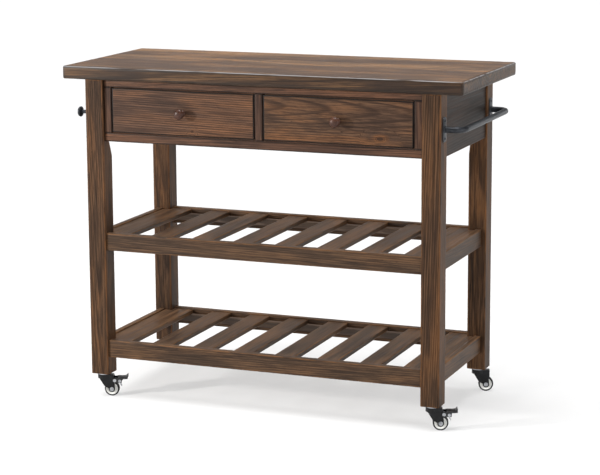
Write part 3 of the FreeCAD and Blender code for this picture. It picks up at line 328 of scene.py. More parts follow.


# The worktop's edges are darkened, partly stain and partly painted shade; its top takes painted
# light and its rounded arris a painted highlight.
TOP = stained_pine(
    "worktop_pine", linear(112, 84, 56), linear(52, 36, 25), linear(112, 76, 42),
    linear(32, 21, 14), ring_gap=12 * MM, ring_depth=0.7, streak=0.9, orange_share=0.35,
    knots=(((-0.20, 0.03, cad_high.z), 11 * MM, (0.3, 1.0, 0.2)),
           ((0.27, -0.11, cad_high.z), 7 * MM, (0.35, 1.0, 0.2))),
    gloss=0.46, glued=96 * MM, polish=0.22, rubbed_to=linear(128, 106, 86), wear=0.12,
    dark_edge=0.5, painted_top_light=1.0, painted_arris_highlight=0.6)
LEG = stained_pine(
    "leg_pine", linear(96, 70, 49), linear(56, 40, 29), linear(114, 74, 41),
    linear(34, 23, 16), ring_gap=6 * MM, ring_depth=0.6, orange_share=0.5, polish=0.1)
# Its edges take painted shade of the gaps round the drawers and legs.
FACE = stained_pine(
    "face_frame_pine", linear(106, 76, 58), linear(64, 44, 34), linear(116, 74, 46),
    linear(42, 27, 20), ring_gap=4 * MM, ring_depth=0.6, orange_share=0.5, dark_edge=0.85)
drawer_low, drawer_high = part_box("drawer_left_front")
drawer_skin = drawer_low.y
drawer_mid = (drawer_low.z + drawer_high.z) / 2

# Its edges take painted shade of the gap round the drawer.
DRAWER_LEFT = stained_pine(
    "left_drawer_pine", linear(112, 81, 62), linear(66, 46, 35), linear(126, 82, 48),
    linear(40, 25, 17), ring_gap=5.8 * MM, ring_depth=0.8, orange_share=0.55, streak=0.35,
    sway_deep=5 * MM, tremble_deep=0.5 * MM,
    knots=(((-0.19, drawer_skin, drawer_mid - 0.046), 3.5 * MM, (0.7, 0.2, 0.8)),),
    dark_edge=1.0)
# Its edges take painted shade of the gap round the drawer.
DRAWER_RIGHT = stained_pine(
    "right_drawer_pine", linear(108, 79, 57), linear(64, 45, 33), linear(126, 80, 44),
    linear(42, 27, 18), ring_gap=4.6 * MM, ring_depth=0.72, orange_share=0.62, streak=0.3,
    sway_deep=7 * MM, tremble_deep=0.6 * MM,
    knots=(((0.335, drawer_skin, drawer_mid - 0.040), 7 * MM, (0.5, 0.2, 1.0)),),
    dark_edge=1.0)
APRON = stained_pine(
    "apron_pine", linear(66, 52, 44), linear(34, 27, 22), linear(72, 50, 37),
    linear(24, 17, 13), polish=0.1, ring_gap=6.5 * MM, orange_share=0.3)
# The slat tops take a little painted light.
SHELF = stained_pine(
    "shelf_pine", linear(98, 74, 54), linear(58, 43, 31), linear(110, 75, 44),
    linear(38, 26, 19), ring_gap=6 * MM, orange_share=0.4, wear=0.6, painted_top_light=0.08)
RAW_BOARD = plain_pine("drawer_box_pine", linear(198, 166, 124), linear(150, 112, 72), "board")
RAW_ALONG = plain_pine("hidden_strip_pine", linear(150, 118, 84), linear(104, 76, 50), "y")
RAW_ACROSS = plain_pine("cleat_pine", linear(92, 72, 56), linear(60, 46, 36), "x")
DOWEL = plain_pine("beech_dowel", linear(200, 168, 128), linear(160, 124, 86), "x")
PLYWOOD = plain_pine("drawer_bottom_ply", linear(206, 178, 138), linear(168, 132, 92), "x")
BRONZE = worked_metal("knob_bronze", linear(50, 28, 20), linear(80, 49, 35), 0.3, 0.33,
                      metallic=0.1, wear=linear(104, 68, 48))
BLACKED = worked_metal("blacked_steel", linear(30, 32, 36), linear(58, 61, 66), 0.5, 0.38,
                       dimple=0.2, metallic=0.6)
FORK_BLACK = worked_metal("fork_black", linear(9, 9, 10), linear(22, 23, 25), 0.4, 0.34,
                          dimple=0.2, metallic=0.4, wear=linear(60, 60, 62))
PEDAL_BLACK = moulded("pedal_black", linear(10, 10, 11), linear(30, 30, 31), 0.36, 1500.0,
                      0.15 * MM, 0.5)
RUBBER = moulded("tyre_rubber", linear(10, 10, 11), linear(34, 33, 33), 0.62, 1100.0, 0.2 * MM)
NYLON = moulded("hub_nylon", linear(222, 222, 218), linear(178, 176, 170), 0.42, 1300.0,
                0.12 * MM, 0.5)
ZINC = worked_metal("zinc_plate", linear(128, 130, 134), linear(196, 198, 202), 0.6, 0.3,
                    grain=700.0, dimple=0.12)


# ---------------------------------------------------------------- mesh helpers

def finish_piece(name, mesh, body, nodes, material=None):
    """Put a finished mesh on its body, in place of the CAD nodes that it shows."""
    piece = bpy.data.objects.new(name, mesh)
    bpy.context.scene.collection.objects.link(piece)
    if material is not None:
        mesh.materials.clear()
        mesh.materials.append(material)
    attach(piece, body)
    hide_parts(*nodes)
    return piece


def outline_prism(points, low, high, up="z"):
    """A board whose outline is drawn on one plane and pushed along the third axis."""
    bm = bmesh.new()
    order = {"z": (0, 1, 2), "x": (1, 2, 0)}[up]

    def corner(point, level):
        place = [0.0, 0.0, 0.0]
        place[order[0]], place[order[1]], place[order[2]] = point[0], point[1], level
        return bm.verts.new(place)

    bottom = [corner(point, low) for point in points]
    top = [corner(point, high) for point in points]
    bm.faces.new(bottom)
    bm.faces.new(top)
    for index, vert in enumerate(bottom):
        after = (index + 1) % len(bottom)
        bm.faces.new((vert, bottom[after], top[after], top[index]))
    bmesh.ops.recalc_face_normals(bm, faces=bm.faces)
    return bm


def block(low, high):
    return outline_prism([(low[0], low[1]), (high[0], low[1]), (high[0], high[1]),
                          (low[0], high[1])], low[2], high[2])


def board_mesh(name, bm, run, seed, ease=EASE, rub=WORN_AND_SHADED_EDGE, pith=None, lean=None):
    """Ease the corners, set in the broad faces and mark grain and the edge band that takes wear
    and painted edge shade.
    """
    steps = EASE_STEPS if ease == EASE else FINE_EASE_STEPS
    bmesh.ops.bevel(bm, geom=list(bm.edges), offset=ease, segments=steps, profile=0.5,
                    affect="EDGES", clamp_overlap=True)
    broad = [face for face in bm.faces
             if face.calc_area() / max(edge.calc_length() for edge in face.edges)
             > BROAD_FACE * rub]
    before = set(bm.verts)
    bmesh.ops.inset_individual(bm, faces=broad, thickness=rub, use_even_offset=True)
    bm.verts.index_update()
    inside = {vert.index for vert in bm.verts if vert not in before}
    low, high = spread_of([vert.co for vert in bm.verts])
    mesh = bpy.data.meshes.new(name)
    bm.to_mesh(mesh)
    bm.free()
    mark_wood(mesh, inside, (low + high) / 2, run, random.Random(seed), pith, lean)
    return mesh


def spread_of(places):
    """The lowest and highest corners of some points."""
    return (Vector(tuple(min(place[axis] for place in places) for axis in range(3))),
            Vector(tuple(max(place[axis] for place in places) for axis in range(3))))


def mark_wood(mesh, inside, middle, run, shuffle, pith, lean):
    """Store where each point sits in its tree, and 1 at the edges or 0 in the broad faces."""
    first, second, third = {"x": (0, 1, 2), "y": (1, 0, 2), "z": (2, 0, 1)}[run]
    if pith is None:
        pith = (shuffle.uniform(-22, 22) * MM,
                shuffle.choice((-1, 1)) * shuffle.uniform(18, 60) * MM)
    if lean is None:
        lean = (shuffle.uniform(-0.03, 0.03), shuffle.uniform(-0.045, 0.045))
    shift = shuffle.uniform(2, 40)
    mesh.attributes.new("grain", "FLOAT_VECTOR", "POINT")
    mesh.attributes.new("edge", "FLOAT", "POINT")
    places, edges = [], []
    for vert in mesh.vertices:
        away = vert.co - middle
        along = away[first]
        places += [along + shift, away[second] + pith[0] + lean[0] * along,
                   away[third] + pith[1] + lean[1] * along]
        edges.append(0.0 if vert.index in inside else 1.0)
    mesh.attributes["grain"].data.foreach_set("vector", places)
    mesh.attributes["edge"].data.foreach_set("value", edges)
    soften_shading(mesh)


def soften_shading(mesh, angle=35):
    """Shade a mesh smooth, but keep corners sharper than an angle crisp."""
    mesh.shade_smooth()
    mesh.set_sharp_from_angle(angle=math.radians(angle))


def board(name, low, high, run, body, nodes, slot, material, seed, **more):
    """A plain square-cut board between two corners, with its grain running one way."""
    mesh = board_mesh(name, block(low, high), run, seed, **more)
    return finish_piece(name, mesh, body, nodes, material)


def islands(node):
    """The lowest and highest corners of each loose solid of a node."""
    bm = bmesh.new()
    bm.from_mesh(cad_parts[node].data)
    bmesh.ops.remove_doubles(bm, verts=bm.verts, dist=1e-6)
    seen, found = set(), []
    for start in bm.verts:
        if start in seen:
            continue
        stack, group = [start], []
        seen.add(start)
        while stack:
            vert = stack.pop()
            group.append(vert.co.copy())
            for edge in vert.link_edges:
                other = edge.other_vert(vert)
                if other not in seen:
                    seen.add(other)
                    stack.append(other)
        found.append(spread_of(group))
    bm.free()
    return sorted(found, key=lambda pair: tuple(round(c, 4) for c in pair[0]))


def turned(profile, steps):
    """A profile of (radius, height) turned about the Z axis."""
    bm = bmesh.new()
    rings = []
    for radius, height in profile:
        if radius < 1e-6:
            rings.append([bm.verts.new((0, 0, height))])
            continue
        rings.append([bm.verts.new((radius * math.cos(2 * math.pi * step / steps),
                                    radius * math.sin(2 * math.pi * step / steps), height))
                      for step in range(steps)])
    for lower, upper in zip(rings, rings[1:]):
        for step in range(steps):
            after = (step + 1) % steps
            corners = [lower[step % len(lower)], lower[after % len(lower)],
                       upper[after % len(upper)], upper[step % len(upper)]]
            unique = list(dict.fromkeys(corners))
            if len(unique) > 2:
                bm.faces.new(unique)
    bmesh.ops.recalc_face_normals(bm, faces=bm.faces)
    return bm


def aim(direction, place):
    """Stand a piece made along +Z at a place, pointing another way."""
    turn = Vector(direction).to_track_quat("Z", "Y").to_matrix().to_4x4()
    return Matrix.Translation(place) @ turn


def merged(name, parts):
    """Several bmesh pieces, each with its own matrix, as one mesh."""
    whole = bmesh.new()
    for part, matrix in parts:
        bmesh.ops.transform(part, matrix=matrix, verts=part.verts)
        loose = bpy.data.meshes.new("loose")
        part.to_mesh(loose)
        part.free()
        whole.from_mesh(loose)
        bpy.data.meshes.remove(loose)
    mesh = bpy.data.meshes.new(name)
    bmesh.ops.recalc_face_normals(whole, faces=whole.faces)
    whole.to_mesh(mesh)
    whole.free()
    soften_shading(mesh)
    return mesh


def pressed_copy(name, node, ease):
    """A pressed or folded part's own shape with its sharp corners eased."""
    bm = bmesh.new()
    bm.from_mesh(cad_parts[node].data)
    bmesh.ops.remove_doubles(bm, verts=bm.verts, dist=2e-6)
    bmesh.ops.dissolve_limit(bm, angle_limit=math.radians(1), verts=bm.verts, edges=bm.edges)
    bmesh.ops.recalc_face_normals(bm, faces=bm.faces)
    sharp = [edge for edge in bm.edges
             if len(edge.link_faces) == 2 and edge.calc_face_angle(0) > FOLD_ANGLE]
    bmesh.ops.bevel(bm, geom=sharp, offset=ease, segments=2, profile=0.6, affect="EDGES",
                    clamp_overlap=True)
    bmesh.ops.triangulate(bm, faces=bm.faces)
    mesh = bpy.data.meshes.new(name)
    bm.to_mesh(mesh)
    bm.free()
    soften_shading(mesh)
    return mesh


# ---------------------------------------------------------------- repeated parts

def sockets(tree, wanted):
    """Add a repeat tree's named inputs; hand back each one's identifier."""
    names = {}
    tree.interface.new_socket("Geometry", in_out="OUTPUT", socket_type="NodeSocketGeometry")
    tree.interface.new_socket("Geometry", in_out="INPUT", socket_type="NodeSocketGeometry")
    for name, kind in wanted:
        names[name] = tree.interface.new_socket(
            name, in_out="INPUT", socket_type=f"NodeSocket{kind}").identifier
    return names


def tree_node(tree, kind, inputs=None, **settings):
    node = tree.nodes.new(kind)
    for key, value in settings.items():
        setattr(node, key, value)
    for key, value in (inputs or {}).items():
        if isinstance(value, bpy.types.NodeSocket):
            tree.links.new(value, node.inputs[key])
        else:
            node.inputs[key].default_value = value
    return node


def made_by(tree, names, values, name, start=None):
    """Run a repeat tree once, on a starting mesh or on none, and keep its plain mesh."""
    host = bpy.data.objects.new(name, start or bpy.data.meshes.new(name))
    bpy.context.scene.collection.objects.link(host)
    modifier = host.modifiers.new("repeat", "NODES")
    modifier.node_group = tree
    for key, value in values.items():
        modifier[names[key]] = value
    bpy.context.view_layer.update()
    graph = bpy.context.evaluated_depsgraph_get()
    mesh = bpy.data.meshes.new_from_object(
        host.evaluated_get(graph), preserve_all_data_layers=True, depsgraph=graph)
    host.modifiers.remove(modifier)
    bpy.data.objects.remove(host)
    mesh.name = name
    return mesh


def template(name, mesh):
    """A loose object for a repeat tree to copy."""
    pattern = bpy.data.objects.new(name, mesh)
    bpy.context.scene.collection.objects.link(pattern)
    return pattern


def begin_tree(name, wanted):
    """An empty repeat tree, its named inputs, and the nodes at its two ends."""
    tree = bpy.data.node_groups.new(name, "GeometryNodeTree")
    names = sockets(tree, wanted)
    return tree, names, tree.nodes.new("NodeGroupInput").outputs, tree.nodes.new("NodeGroupOutput")


def finish_tree(tree, geometry, finish, go_out):
    """Make a tree's result real and give it its finish."""
    real = tree_node(tree, "GeometryNodeRealizeInstances", {"Geometry": geometry})
    finished = tree_node(tree, "GeometryNodeSetMaterial", {
        "Geometry": real.outputs[0], "Material": finish})
    tree.links.new(finished.outputs[0], go_out.inputs[0])


def slat_row_tree():
    """One slat set in a row, each cut from another part of its tree."""
    tree, names, given, go_out = begin_tree("slat_row", (
        ("Slat", "Object"), ("Count", "Int"), ("First", "Vector"), ("Step", "Vector"),
        ("Seed", "Int"), ("Finish", "Material")))
    vectors = {"data_type": "FLOAT_VECTOR"}
    line = tree_node(tree, "GeometryNodeMeshLine", {
        "Count": given["Count"], "Start Location": given["First"], "Offset": given["Step"]})
    slat = tree_node(tree, "GeometryNodeObjectInfo", {"Object": given["Slat"]})
    row = tree_node(tree, "GeometryNodeInstanceOnPoints", {
        "Points": line.outputs[0], "Instance": slat.outputs["Geometry"]})
    lot = tree_node(tree, "FunctionNodeRandomValue", {"Seed": given["Seed"]}, **vectors)
    lot.inputs[0].default_value = (0, -0.03, -0.02)
    lot.inputs[1].default_value = (30, 0.03, 0.05)
    allotted = tree_node(tree, "GeometryNodeStoreNamedAttribute", {
        "Geometry": row.outputs[0], "Name": "cut_from", "Value": lot.outputs[0]},
        domain="INSTANCE", **vectors)
    real = tree_node(tree, "GeometryNodeRealizeInstances", {"Geometry": allotted.outputs[0]})
    grain = tree_node(tree, "GeometryNodeInputNamedAttribute", {"Name": "grain"}, **vectors)
    cut_from = tree_node(tree, "GeometryNodeInputNamedAttribute", {"Name": "cut_from"}, **vectors)
    moved = tree_node(tree, "ShaderNodeVectorMath", {
        0: grain.outputs[0], 1: cut_from.outputs[0]}, operation="ADD")
    grained = tree_node(tree, "GeometryNodeStoreNamedAttribute", {
        "Geometry": real.outputs[0], "Name": "grain", "Value": moved.outputs[0]},
        domain="POINT", **vectors)
    finish_tree(tree, grained.outputs[0], given["Finish"], go_out)
    return tree, names


def fastener_tree():
    """One head set at every point of a mesh, each turned at random about its own axis."""
    tree, names, given, go_out = begin_tree("fastener_set", (
        ("Fastener", "Object"), ("Turn", "Rotation"), ("Seed", "Int"), ("Finish", "Material")))
    head = tree_node(tree, "GeometryNodeObjectInfo", {"Object": given["Fastener"]})
    spin = tree_node(tree, "FunctionNodeRandomValue", {"Seed": given["Seed"]},
                     data_type="FLOAT_VECTOR")
    spin.inputs[0].default_value = (0, 0, 0)
    spin.inputs[1].default_value = (0, 0, math.pi)
    spin_turn = tree_node(tree, "FunctionNodeEulerToRotation", {0: spin.outputs[0]})
    whole_turn = tree_node(tree, "FunctionNodeRotateRotation", {
        0: given["Turn"], 1: spin_turn.outputs[0]}, rotation_space="LOCAL")
    heads = tree_node(tree, "GeometryNodeInstanceOnPoints", {
        "Points": given["Geometry"], "Instance": head.outputs["Geometry"],
        "Rotation": whole_turn.outputs[0]})
    finish_tree(tree, heads.outputs[0], given["Finish"], go_out)
    return tree, names


def bent_tube_tree():
    """A tube along a mesh's edges, bent round its corners and closed at its ends."""
    tree, names, given, go_out = begin_tree("bent_tube", (
        ("Tube Radius", "Float"), ("Bend Radius", "Float"), ("Bend Steps", "Int"),
        ("Sides", "Int"), ("Finish", "Material")))
    curve = tree_node(tree, "GeometryNodeMeshToCurve", {0: given["Geometry"]})
    rounded = tree_node(tree, "GeometryNodeFilletCurve", {
        "Curve": curve.outputs[0], "Radius": given["Bend Radius"],
        "Count": given["Bend Steps"]}, mode="POLY")
    ring = tree_node(tree, "GeometryNodeCurvePrimitiveCircle", {
        "Resolution": given["Sides"], "Radius": given["Tube Radius"]})
    skin = tree_node(tree, "GeometryNodeCurveToMesh", {
        "Curve": rounded.outputs[0], "Profile Curve": ring.outputs[0], "Fill Caps": True})
    finish_tree(tree, skin.outputs[0], given["Finish"], go_out)
    return tree, names


# ---------------------------------------------------------------- worktop, legs and aprons

top_low, top_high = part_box("top_slab")
slab = outline_prism([(top_low.y, top_low.z), (top_high.y, top_low.z), (top_high.y, top_high.z),
                      (top_low.y, top_high.z)], top_low.x, top_high.x, "x")
slab_mesh = board_mesh("worktop", slab, "x", 4, ease=4.6 * MM, rub=6 * MM, pith=(0.02, -0.085))
finish_piece("worktop", slab_mesh, "cart", ["top_slab"], TOP)


CUT_BELOW_APRON = 46 * MM
CUT_TALL = 58 * MM
CUT_DEEP = 15 * MM
LEG_EASE = 2 * MM


def leg(corner, seed):
    """A square leg whose inner corner is cut back behind the aprons."""
    low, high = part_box(f"leg_{corner}")
    apron_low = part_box("back_apron")[0].z
    inner = Vector((high.x if high.x < 0 else low.x,
                    high.y if corner.startswith("front") else low.y))
    outer = Vector((low.x if high.x < 0 else high.x,
                    low.y if corner.startswith("front") else high.y))
    start = apron_low - CUT_BELOW_APRON
    full = start + CUT_TALL
    back = CUT_DEEP * math.sqrt(2)
    step_x = back if outer.x > inner.x else -back
    step_y = back if outer.y > inner.y else -back
    bm = bmesh.new()

    def at(x, y, z):
        return bm.verts.new((x, y, z))

    foot = [at(inner.x, inner.y, low.z), at(outer.x, inner.y, low.z),
            at(outer.x, outer.y, low.z), at(inner.x, outer.y, low.z)]
    tip = at(inner.x, inner.y, start)
    cut_x = at(inner.x + step_x, inner.y, full)
    cut_y = at(inner.x, inner.y + step_y, full)
    head = [at(inner.x + step_x, inner.y, high.z), at(outer.x, inner.y, high.z),
            at(outer.x, outer.y, high.z), at(inner.x, outer.y, high.z),
            at(inner.x, inner.y + step_y, high.z)]
    for face in ((foot[0], foot[1], foot[2], foot[3]), tuple(head),
                 (foot[0], foot[1], head[1], head[0], cut_x, tip),
                 (foot[1], foot[2], head[2], head[1]), (foot[2], foot[3], head[3], head[2]),
                 (foot[3], foot[0], tip, cut_y, head[4], head[3]),
                 (tip, cut_x, cut_y), (cut_x, head[0], head[4], cut_y)):
        bm.faces.new(face)
    bmesh.ops.recalc_face_normals(bm, faces=bm.faces)
    mesh = board_mesh(f"leg_post_{corner}", bm, "z", seed, ease=LEG_EASE, rub=4 * MM)
    finish_piece(f"leg_post_{corner}", mesh, "cart", [f"leg_{corner}"], LEG)


for seed, corner in enumerate(CORNERS):
    leg(corner, 11 + seed)

for name, run, seed in (("side_apron_left", "y", 21), ("side_apron_right", "y", 22),
                        ("back_apron", "x", 23)):
    board(f"{name}_board", *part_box(name), run, "cart", [name], "apron_wood", APRON, seed)

for name, slot_name, material, seed in (
        ("face_top_rail", "face_wood", FACE, 31), ("face_bottom_rail", "face_wood", FACE, 32),
        ("mid_front_rail", "shelf_wood", SHELF, 33), ("mid_back_rail", "shelf_wood", SHELF, 34),
        ("low_front_rail", "shelf_wood", SHELF, 35), ("low_back_rail", "shelf_wood", SHELF, 36)):
    board(f"{name}_board", *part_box(name), "x", "cart", [name], slot_name, material, seed)
for index, (low, high) in enumerate(islands("face_stiles")):
    board(f"face_stile_board_{index + 1}", low, high, "z", "cart", ["face_stiles"], "face_wood",
          FACE, 41 + index)
for index, (low, high) in enumerate(islands("shelf_side_rails")):
    board(f"shelf_side_board_{index + 1}", low, high, "y", "cart", ["shelf_side_rails"],
          "shelf_wood", SHELF, 51 + index)


# ---------------------------------------------------------------- shelves

NOTCH_PLAY = 0.8 * MM
SLAT_EASE = 1.1 * MM
SLAT_RUB = 3.4 * MM
slat_row, slat_inputs = slat_row_tree()


def shelf(level, seed):
    """Six plain slats in a row, and an end slat notched round the legs at each end."""
    node = f"{level}_slats"
    slats = islands(node)
    slats.sort(key=lambda pair: pair[0].x)
    (low, high), (second_low, _) = slats[1], slats[2]
    middle = (low + high) / 2
    pattern_mesh = board_mesh(f"{level}_slat_pattern", block(low - middle, high - middle), "y",
                              seed, ease=SLAT_EASE, rub=SLAT_RUB)
    pattern = template(f"{level}_slat_pattern", pattern_mesh)
    row = made_by(slat_row, slat_inputs, {
        "Slat": pattern, "Count": len(slats) - 2, "First": tuple(middle),
        "Step": tuple(second_low - low), "Seed": seed, "Finish": SHELF}, f"{level}_slat_row")
    bpy.data.objects.remove(pattern)
    soften_shading(row)
    finish_piece(f"{level}_slat_row", row, "cart", [node])
    for side, (end_low, end_high), word in ((-1, slats[0], "left"), (1, slats[-1], "right")):
        leg_low, leg_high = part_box(f"leg_front_{word}")
        back_low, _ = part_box(f"leg_back_{word}")
        notch_x = leg_high.x + NOTCH_PLAY if side < 0 else leg_low.x - NOTCH_PLAY
        notch_front = leg_high.y + NOTCH_PLAY
        notch_back = back_low.y - NOTCH_PLAY
        out_x = end_low.x if side < 0 else end_high.x
        in_x = end_high.x if side < 0 else end_low.x
        outline = [(in_x, end_low.y), (notch_x, end_low.y), (notch_x, notch_front),
                   (out_x, notch_front), (out_x, notch_back), (notch_x, notch_back),
                   (notch_x, end_high.y), (in_x, end_high.y)]
        notched = outline_prism(outline, end_low.z, end_high.z)
        mesh = board_mesh(f"{level}_end_slat_{word}", notched, "y", seed + 3 + side,
                          ease=SLAT_EASE, rub=SLAT_RUB)
        finish_piece(f"{level}_end_slat_{word}", mesh, "cart", [node], SHELF)


shelf("mid", 61)
shelf("low", 71)


# ---------------------------------------------------------------- drawers

BOX_SIDE = 12 * MM
BOX_BACK_LIFT = 8 * MM
BOX_BACK_PLAY = 0.2 * MM
KNOB_PROFILE = [(radius * MM, reach * MM) for radius, reach in (
    (0, 0), (8.6, 0), (9.0, 0.5), (8.9, 1.6), (7.8, 2.6), (6.4, 4.2), (5.9, 6.2), (5.9, 8.4),
    (6.5, 10.6), (8.3, 13.0), (11.0, 15.6), (13.0, 18.0), (13.9, 20.2), (13.8, 22.2),
    (12.9, 24.3), (11.1, 26.3), (8.6, 27.8), (5.2, 28.7), (2.4, 28.95), (0, 29))]


def drawer(word, material, seed, pith, lean):
    """A drawer's front, the three boards of its box, and its knob."""
    body = f"drawer_{word}"
    low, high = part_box(f"{body}_front")
    board(f"{body}_front_board", low, high, "x", body, [f"{body}_front"], "face_wood", material,
          seed, ease=1.6 * MM, rub=4 * MM, pith=pith, lean=lean)
    box_low, box_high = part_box(f"{body}_box")
    inner_left, inner_right = box_low.x + BOX_SIDE, box_high.x - BOX_SIDE
    back_low = (inner_left, box_high.y - BOX_SIDE, box_low.z + BOX_BACK_LIFT)
    back_high = (inner_right, box_high.y - BOX_BACK_PLAY, box_high.z)
    for index, (name, near, far, run) in enumerate((
            ("left_side", box_low, (inner_left, box_high.y, box_high.z), "y"),
            ("right_side", (inner_right, box_low.y, box_low.z), box_high, "y"),
            ("back", back_low, back_high, "x"))):
        board(f"{body}_{name}", near, far, run, body, [f"{body}_box"], "plain_wood", RAW_BOARD,
              seed + 5 + index, ease=0.9 * MM, rub=3 * MM)
    knob_low, knob_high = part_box(f"{body}_knob")
    foot = Vector(((knob_low.x + knob_high.x) / 2, knob_high.y, (knob_low.z + knob_high.z) / 2))
    mesh = merged(f"{body}_turned_knob", [(turned(KNOB_PROFILE, 64), aim((0, -1, 0), foot))])
    soften_shading(mesh, 60)
    finish_piece(f"{body}_turned_knob", mesh, body, [f"{body}_knob"], BRONZE)


drawer("left", DRAWER_LEFT, 81, (0.012, 0.075), (0.01, 0.02))
drawer("right", DRAWER_RIGHT, 93, (-0.060, -0.030), (-0.035, 0.02))


# ---------------------------------------------------------------- towel bar and pegs

BAR_RADIUS = 8 * MM
BAR_BEND = 30 * MM
BEND_STEPS = 14
FLANGE_CORNER = 9 * MM
CORNER_STEPS = 8
SCREW_SEED = 3
fastener_set, fastener_inputs = fastener_tree()
bent_tube, tube_inputs = bent_tube_tree()


def screw_head(radius, thick, slot_deep):
    """A low domed head with a cross-shaped recess."""
    bm = turned([(0, 0), (radius, 0), (radius, thick * 0.25), (radius * 0.88, thick * 0.62),
                 (radius * 0.62, thick * 0.9), (radius * 0.5, thick)], 32)
    rim = [vert for vert in bm.verts if abs(vert.co.z - thick) < SAME_PLACE]
    rim.sort(key=lambda vert: math.atan2(vert.co.y, vert.co.x))
    floor = []
    for index, vert in enumerate(rim):
        angle = math.atan2(vert.co.y, vert.co.x)
        lobe = 0.5 + 0.5 * math.cos(4 * angle)
        reach = radius * (0.14 + 0.3 * lobe ** 2)
        floor.append(bm.verts.new((reach * math.cos(angle), reach * math.sin(angle), thick)))
    pit = [bm.verts.new((vert.co.x * 0.7, vert.co.y * 0.7, thick - slot_deep)) for vert in floor]
    for first, second in ((rim, floor), (floor, pit)):
        for index in range(len(first)):
            after = (index + 1) % len(first)
            bm.faces.new((first[index], first[after], second[after], second[index]))
    bm.faces.new(pit)
    bmesh.ops.recalc_face_normals(bm, faces=bm.faces)
    return bm


def fasteners(name, points, direction, head, body, nodes, material):
    """The same head set at every point by the fastener tree."""
    head_mesh = bpy.data.meshes.new(f"{name}_head")
    head.to_mesh(head_mesh)
    head.free()
    soften_shading(head_mesh)
    pattern = template(f"{name}_head", head_mesh)
    dots = bpy.data.meshes.new(f"{name}_places")
    dots.from_pydata([tuple(point) for point in points], [], [])
    turn = Vector(direction).to_track_quat("Z", "Y").to_euler()
    mesh = made_by(fastener_set, fastener_inputs, {
        "Fastener": pattern, "Turn": tuple(turn), "Seed": SCREW_SEED, "Finish": material},
        name, dots)
    bpy.data.objects.remove(pattern)
    soften_shading(mesh)
    return finish_piece(name, mesh, body, nodes)


bar_low, bar_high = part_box("towel_bar")
bar_line = bpy.data.meshes.new("towel_bar_path")
bar_out = bar_high.x - BAR_RADIUS
bar_front, bar_back = bar_low.y + BAR_RADIUS, bar_high.y - BAR_RADIUS
bar_mid = (bar_low.z + bar_high.z) / 2
bar_line.from_pydata([
    (bar_low.x, bar_front, bar_mid), (bar_out, bar_front, bar_mid),
    (bar_out, bar_back, bar_mid), (bar_low.x, bar_back, bar_mid)], [(0, 1), (1, 2), (2, 3)], [])
bar_mesh = made_by(bent_tube, tube_inputs, {
    "Tube Radius": BAR_RADIUS, "Bend Radius": BAR_BEND, "Bend Steps": BEND_STEPS, "Sides": 40,
    "Finish": BLACKED}, "towel_bar_tube", bar_line)
soften_shading(bar_mesh, 50)
finish_piece("towel_bar_tube", bar_mesh, "cart", ["towel_bar"])

for index, (low, high) in enumerate(islands("towel_bar_flanges")):
    centre = (low + high) / 2
    wide, tall = (high.y - low.y) / 2 - FLANGE_CORNER, (high.z - low.z) / 2 - FLANGE_CORNER
    outline = []
    for corner_y, corner_z, start in ((1, 1, 0), (-1, 1, 90), (-1, -1, 180), (1, -1, 270)):
        for step in range(CORNER_STEPS + 1):
            angle = math.radians(start + step * 90 / CORNER_STEPS)
            outline.append((centre.y + corner_y * wide + FLANGE_CORNER * math.cos(angle),
                            centre.z + corner_z * tall + FLANGE_CORNER * math.sin(angle)))
    plate = outline_prism(outline, low.x, high.x, "x")
    rim = [edge for edge in plate.edges
           if all(abs(vert.co.x - high.x) < SAME_PLACE for vert in edge.verts)]
    bmesh.ops.bevel(plate, geom=rim, offset=0.9 * MM, segments=3, profile=0.5, affect="EDGES")
    collar = turned([(10.2 * MM, 0), (10.2 * MM, 0.5 * MM), (9.4 * MM, 1.5 * MM),
                     (8.02 * MM, 2.2 * MM), (8.02 * MM, 0)], 40)
    mesh = merged(f"flange_plate_{index + 1}", [
        (plate, Matrix.Identity(4)), (collar, aim((1, 0, 0), (high.x, centre.y, centre.z)))])
    finish_piece(f"flange_plate_{index + 1}", mesh, "cart", ["towel_bar_flanges"],
                 BLACKED)

flange_face = max(high.x for _, high in islands("towel_bar_flanges"))
screw_places = [Vector((flange_face, (low.y + high.y) / 2, (low.z + high.z) / 2))
                for low, high in islands("towel_bar_screws")]
fasteners("towel_bar_screw_heads", screw_places, (1, 0, 0),
          screw_head(radius=4 * MM, thick=1.8 * MM, slot_deep=1.1 * MM), "cart",
          ["towel_bar_screws"], BLACKED)

PEG_PROFILE = [(radius * MM, reach * MM) for radius, reach in (
    (0, 0), (9.6, 0), (10, 0.5), (9.9, 2.2), (8.2, 3.6), (6.0, 5.2), (5.0, 7.5), (5.0, 18.5),
    (5.8, 20.6), (8.6, 22.6), (12.2, 24.2), (13.8, 25.8), (14.0, 27.6), (13.6, 29.4),
    (12.2, 31.2), (9.6, 32.4), (5, 32.95), (0, 33))]
leg_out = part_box("leg_front_left")[0].x
for index, (low, high) in enumerate(islands("side_pegs")):
    centre = (low + high) / 2
    mesh = merged(f"side_peg_{index + 1}", [
        (turned(PEG_PROFILE, 56), aim((-1, 0, 0), (leg_out, centre.y, centre.z)))])
    soften_shading(mesh, 60)
    finish_piece(f"side_peg_{index + 1}", mesh, "cart", ["side_pegs"], BLACKED)


# ---------------------------------------------------------------- casters

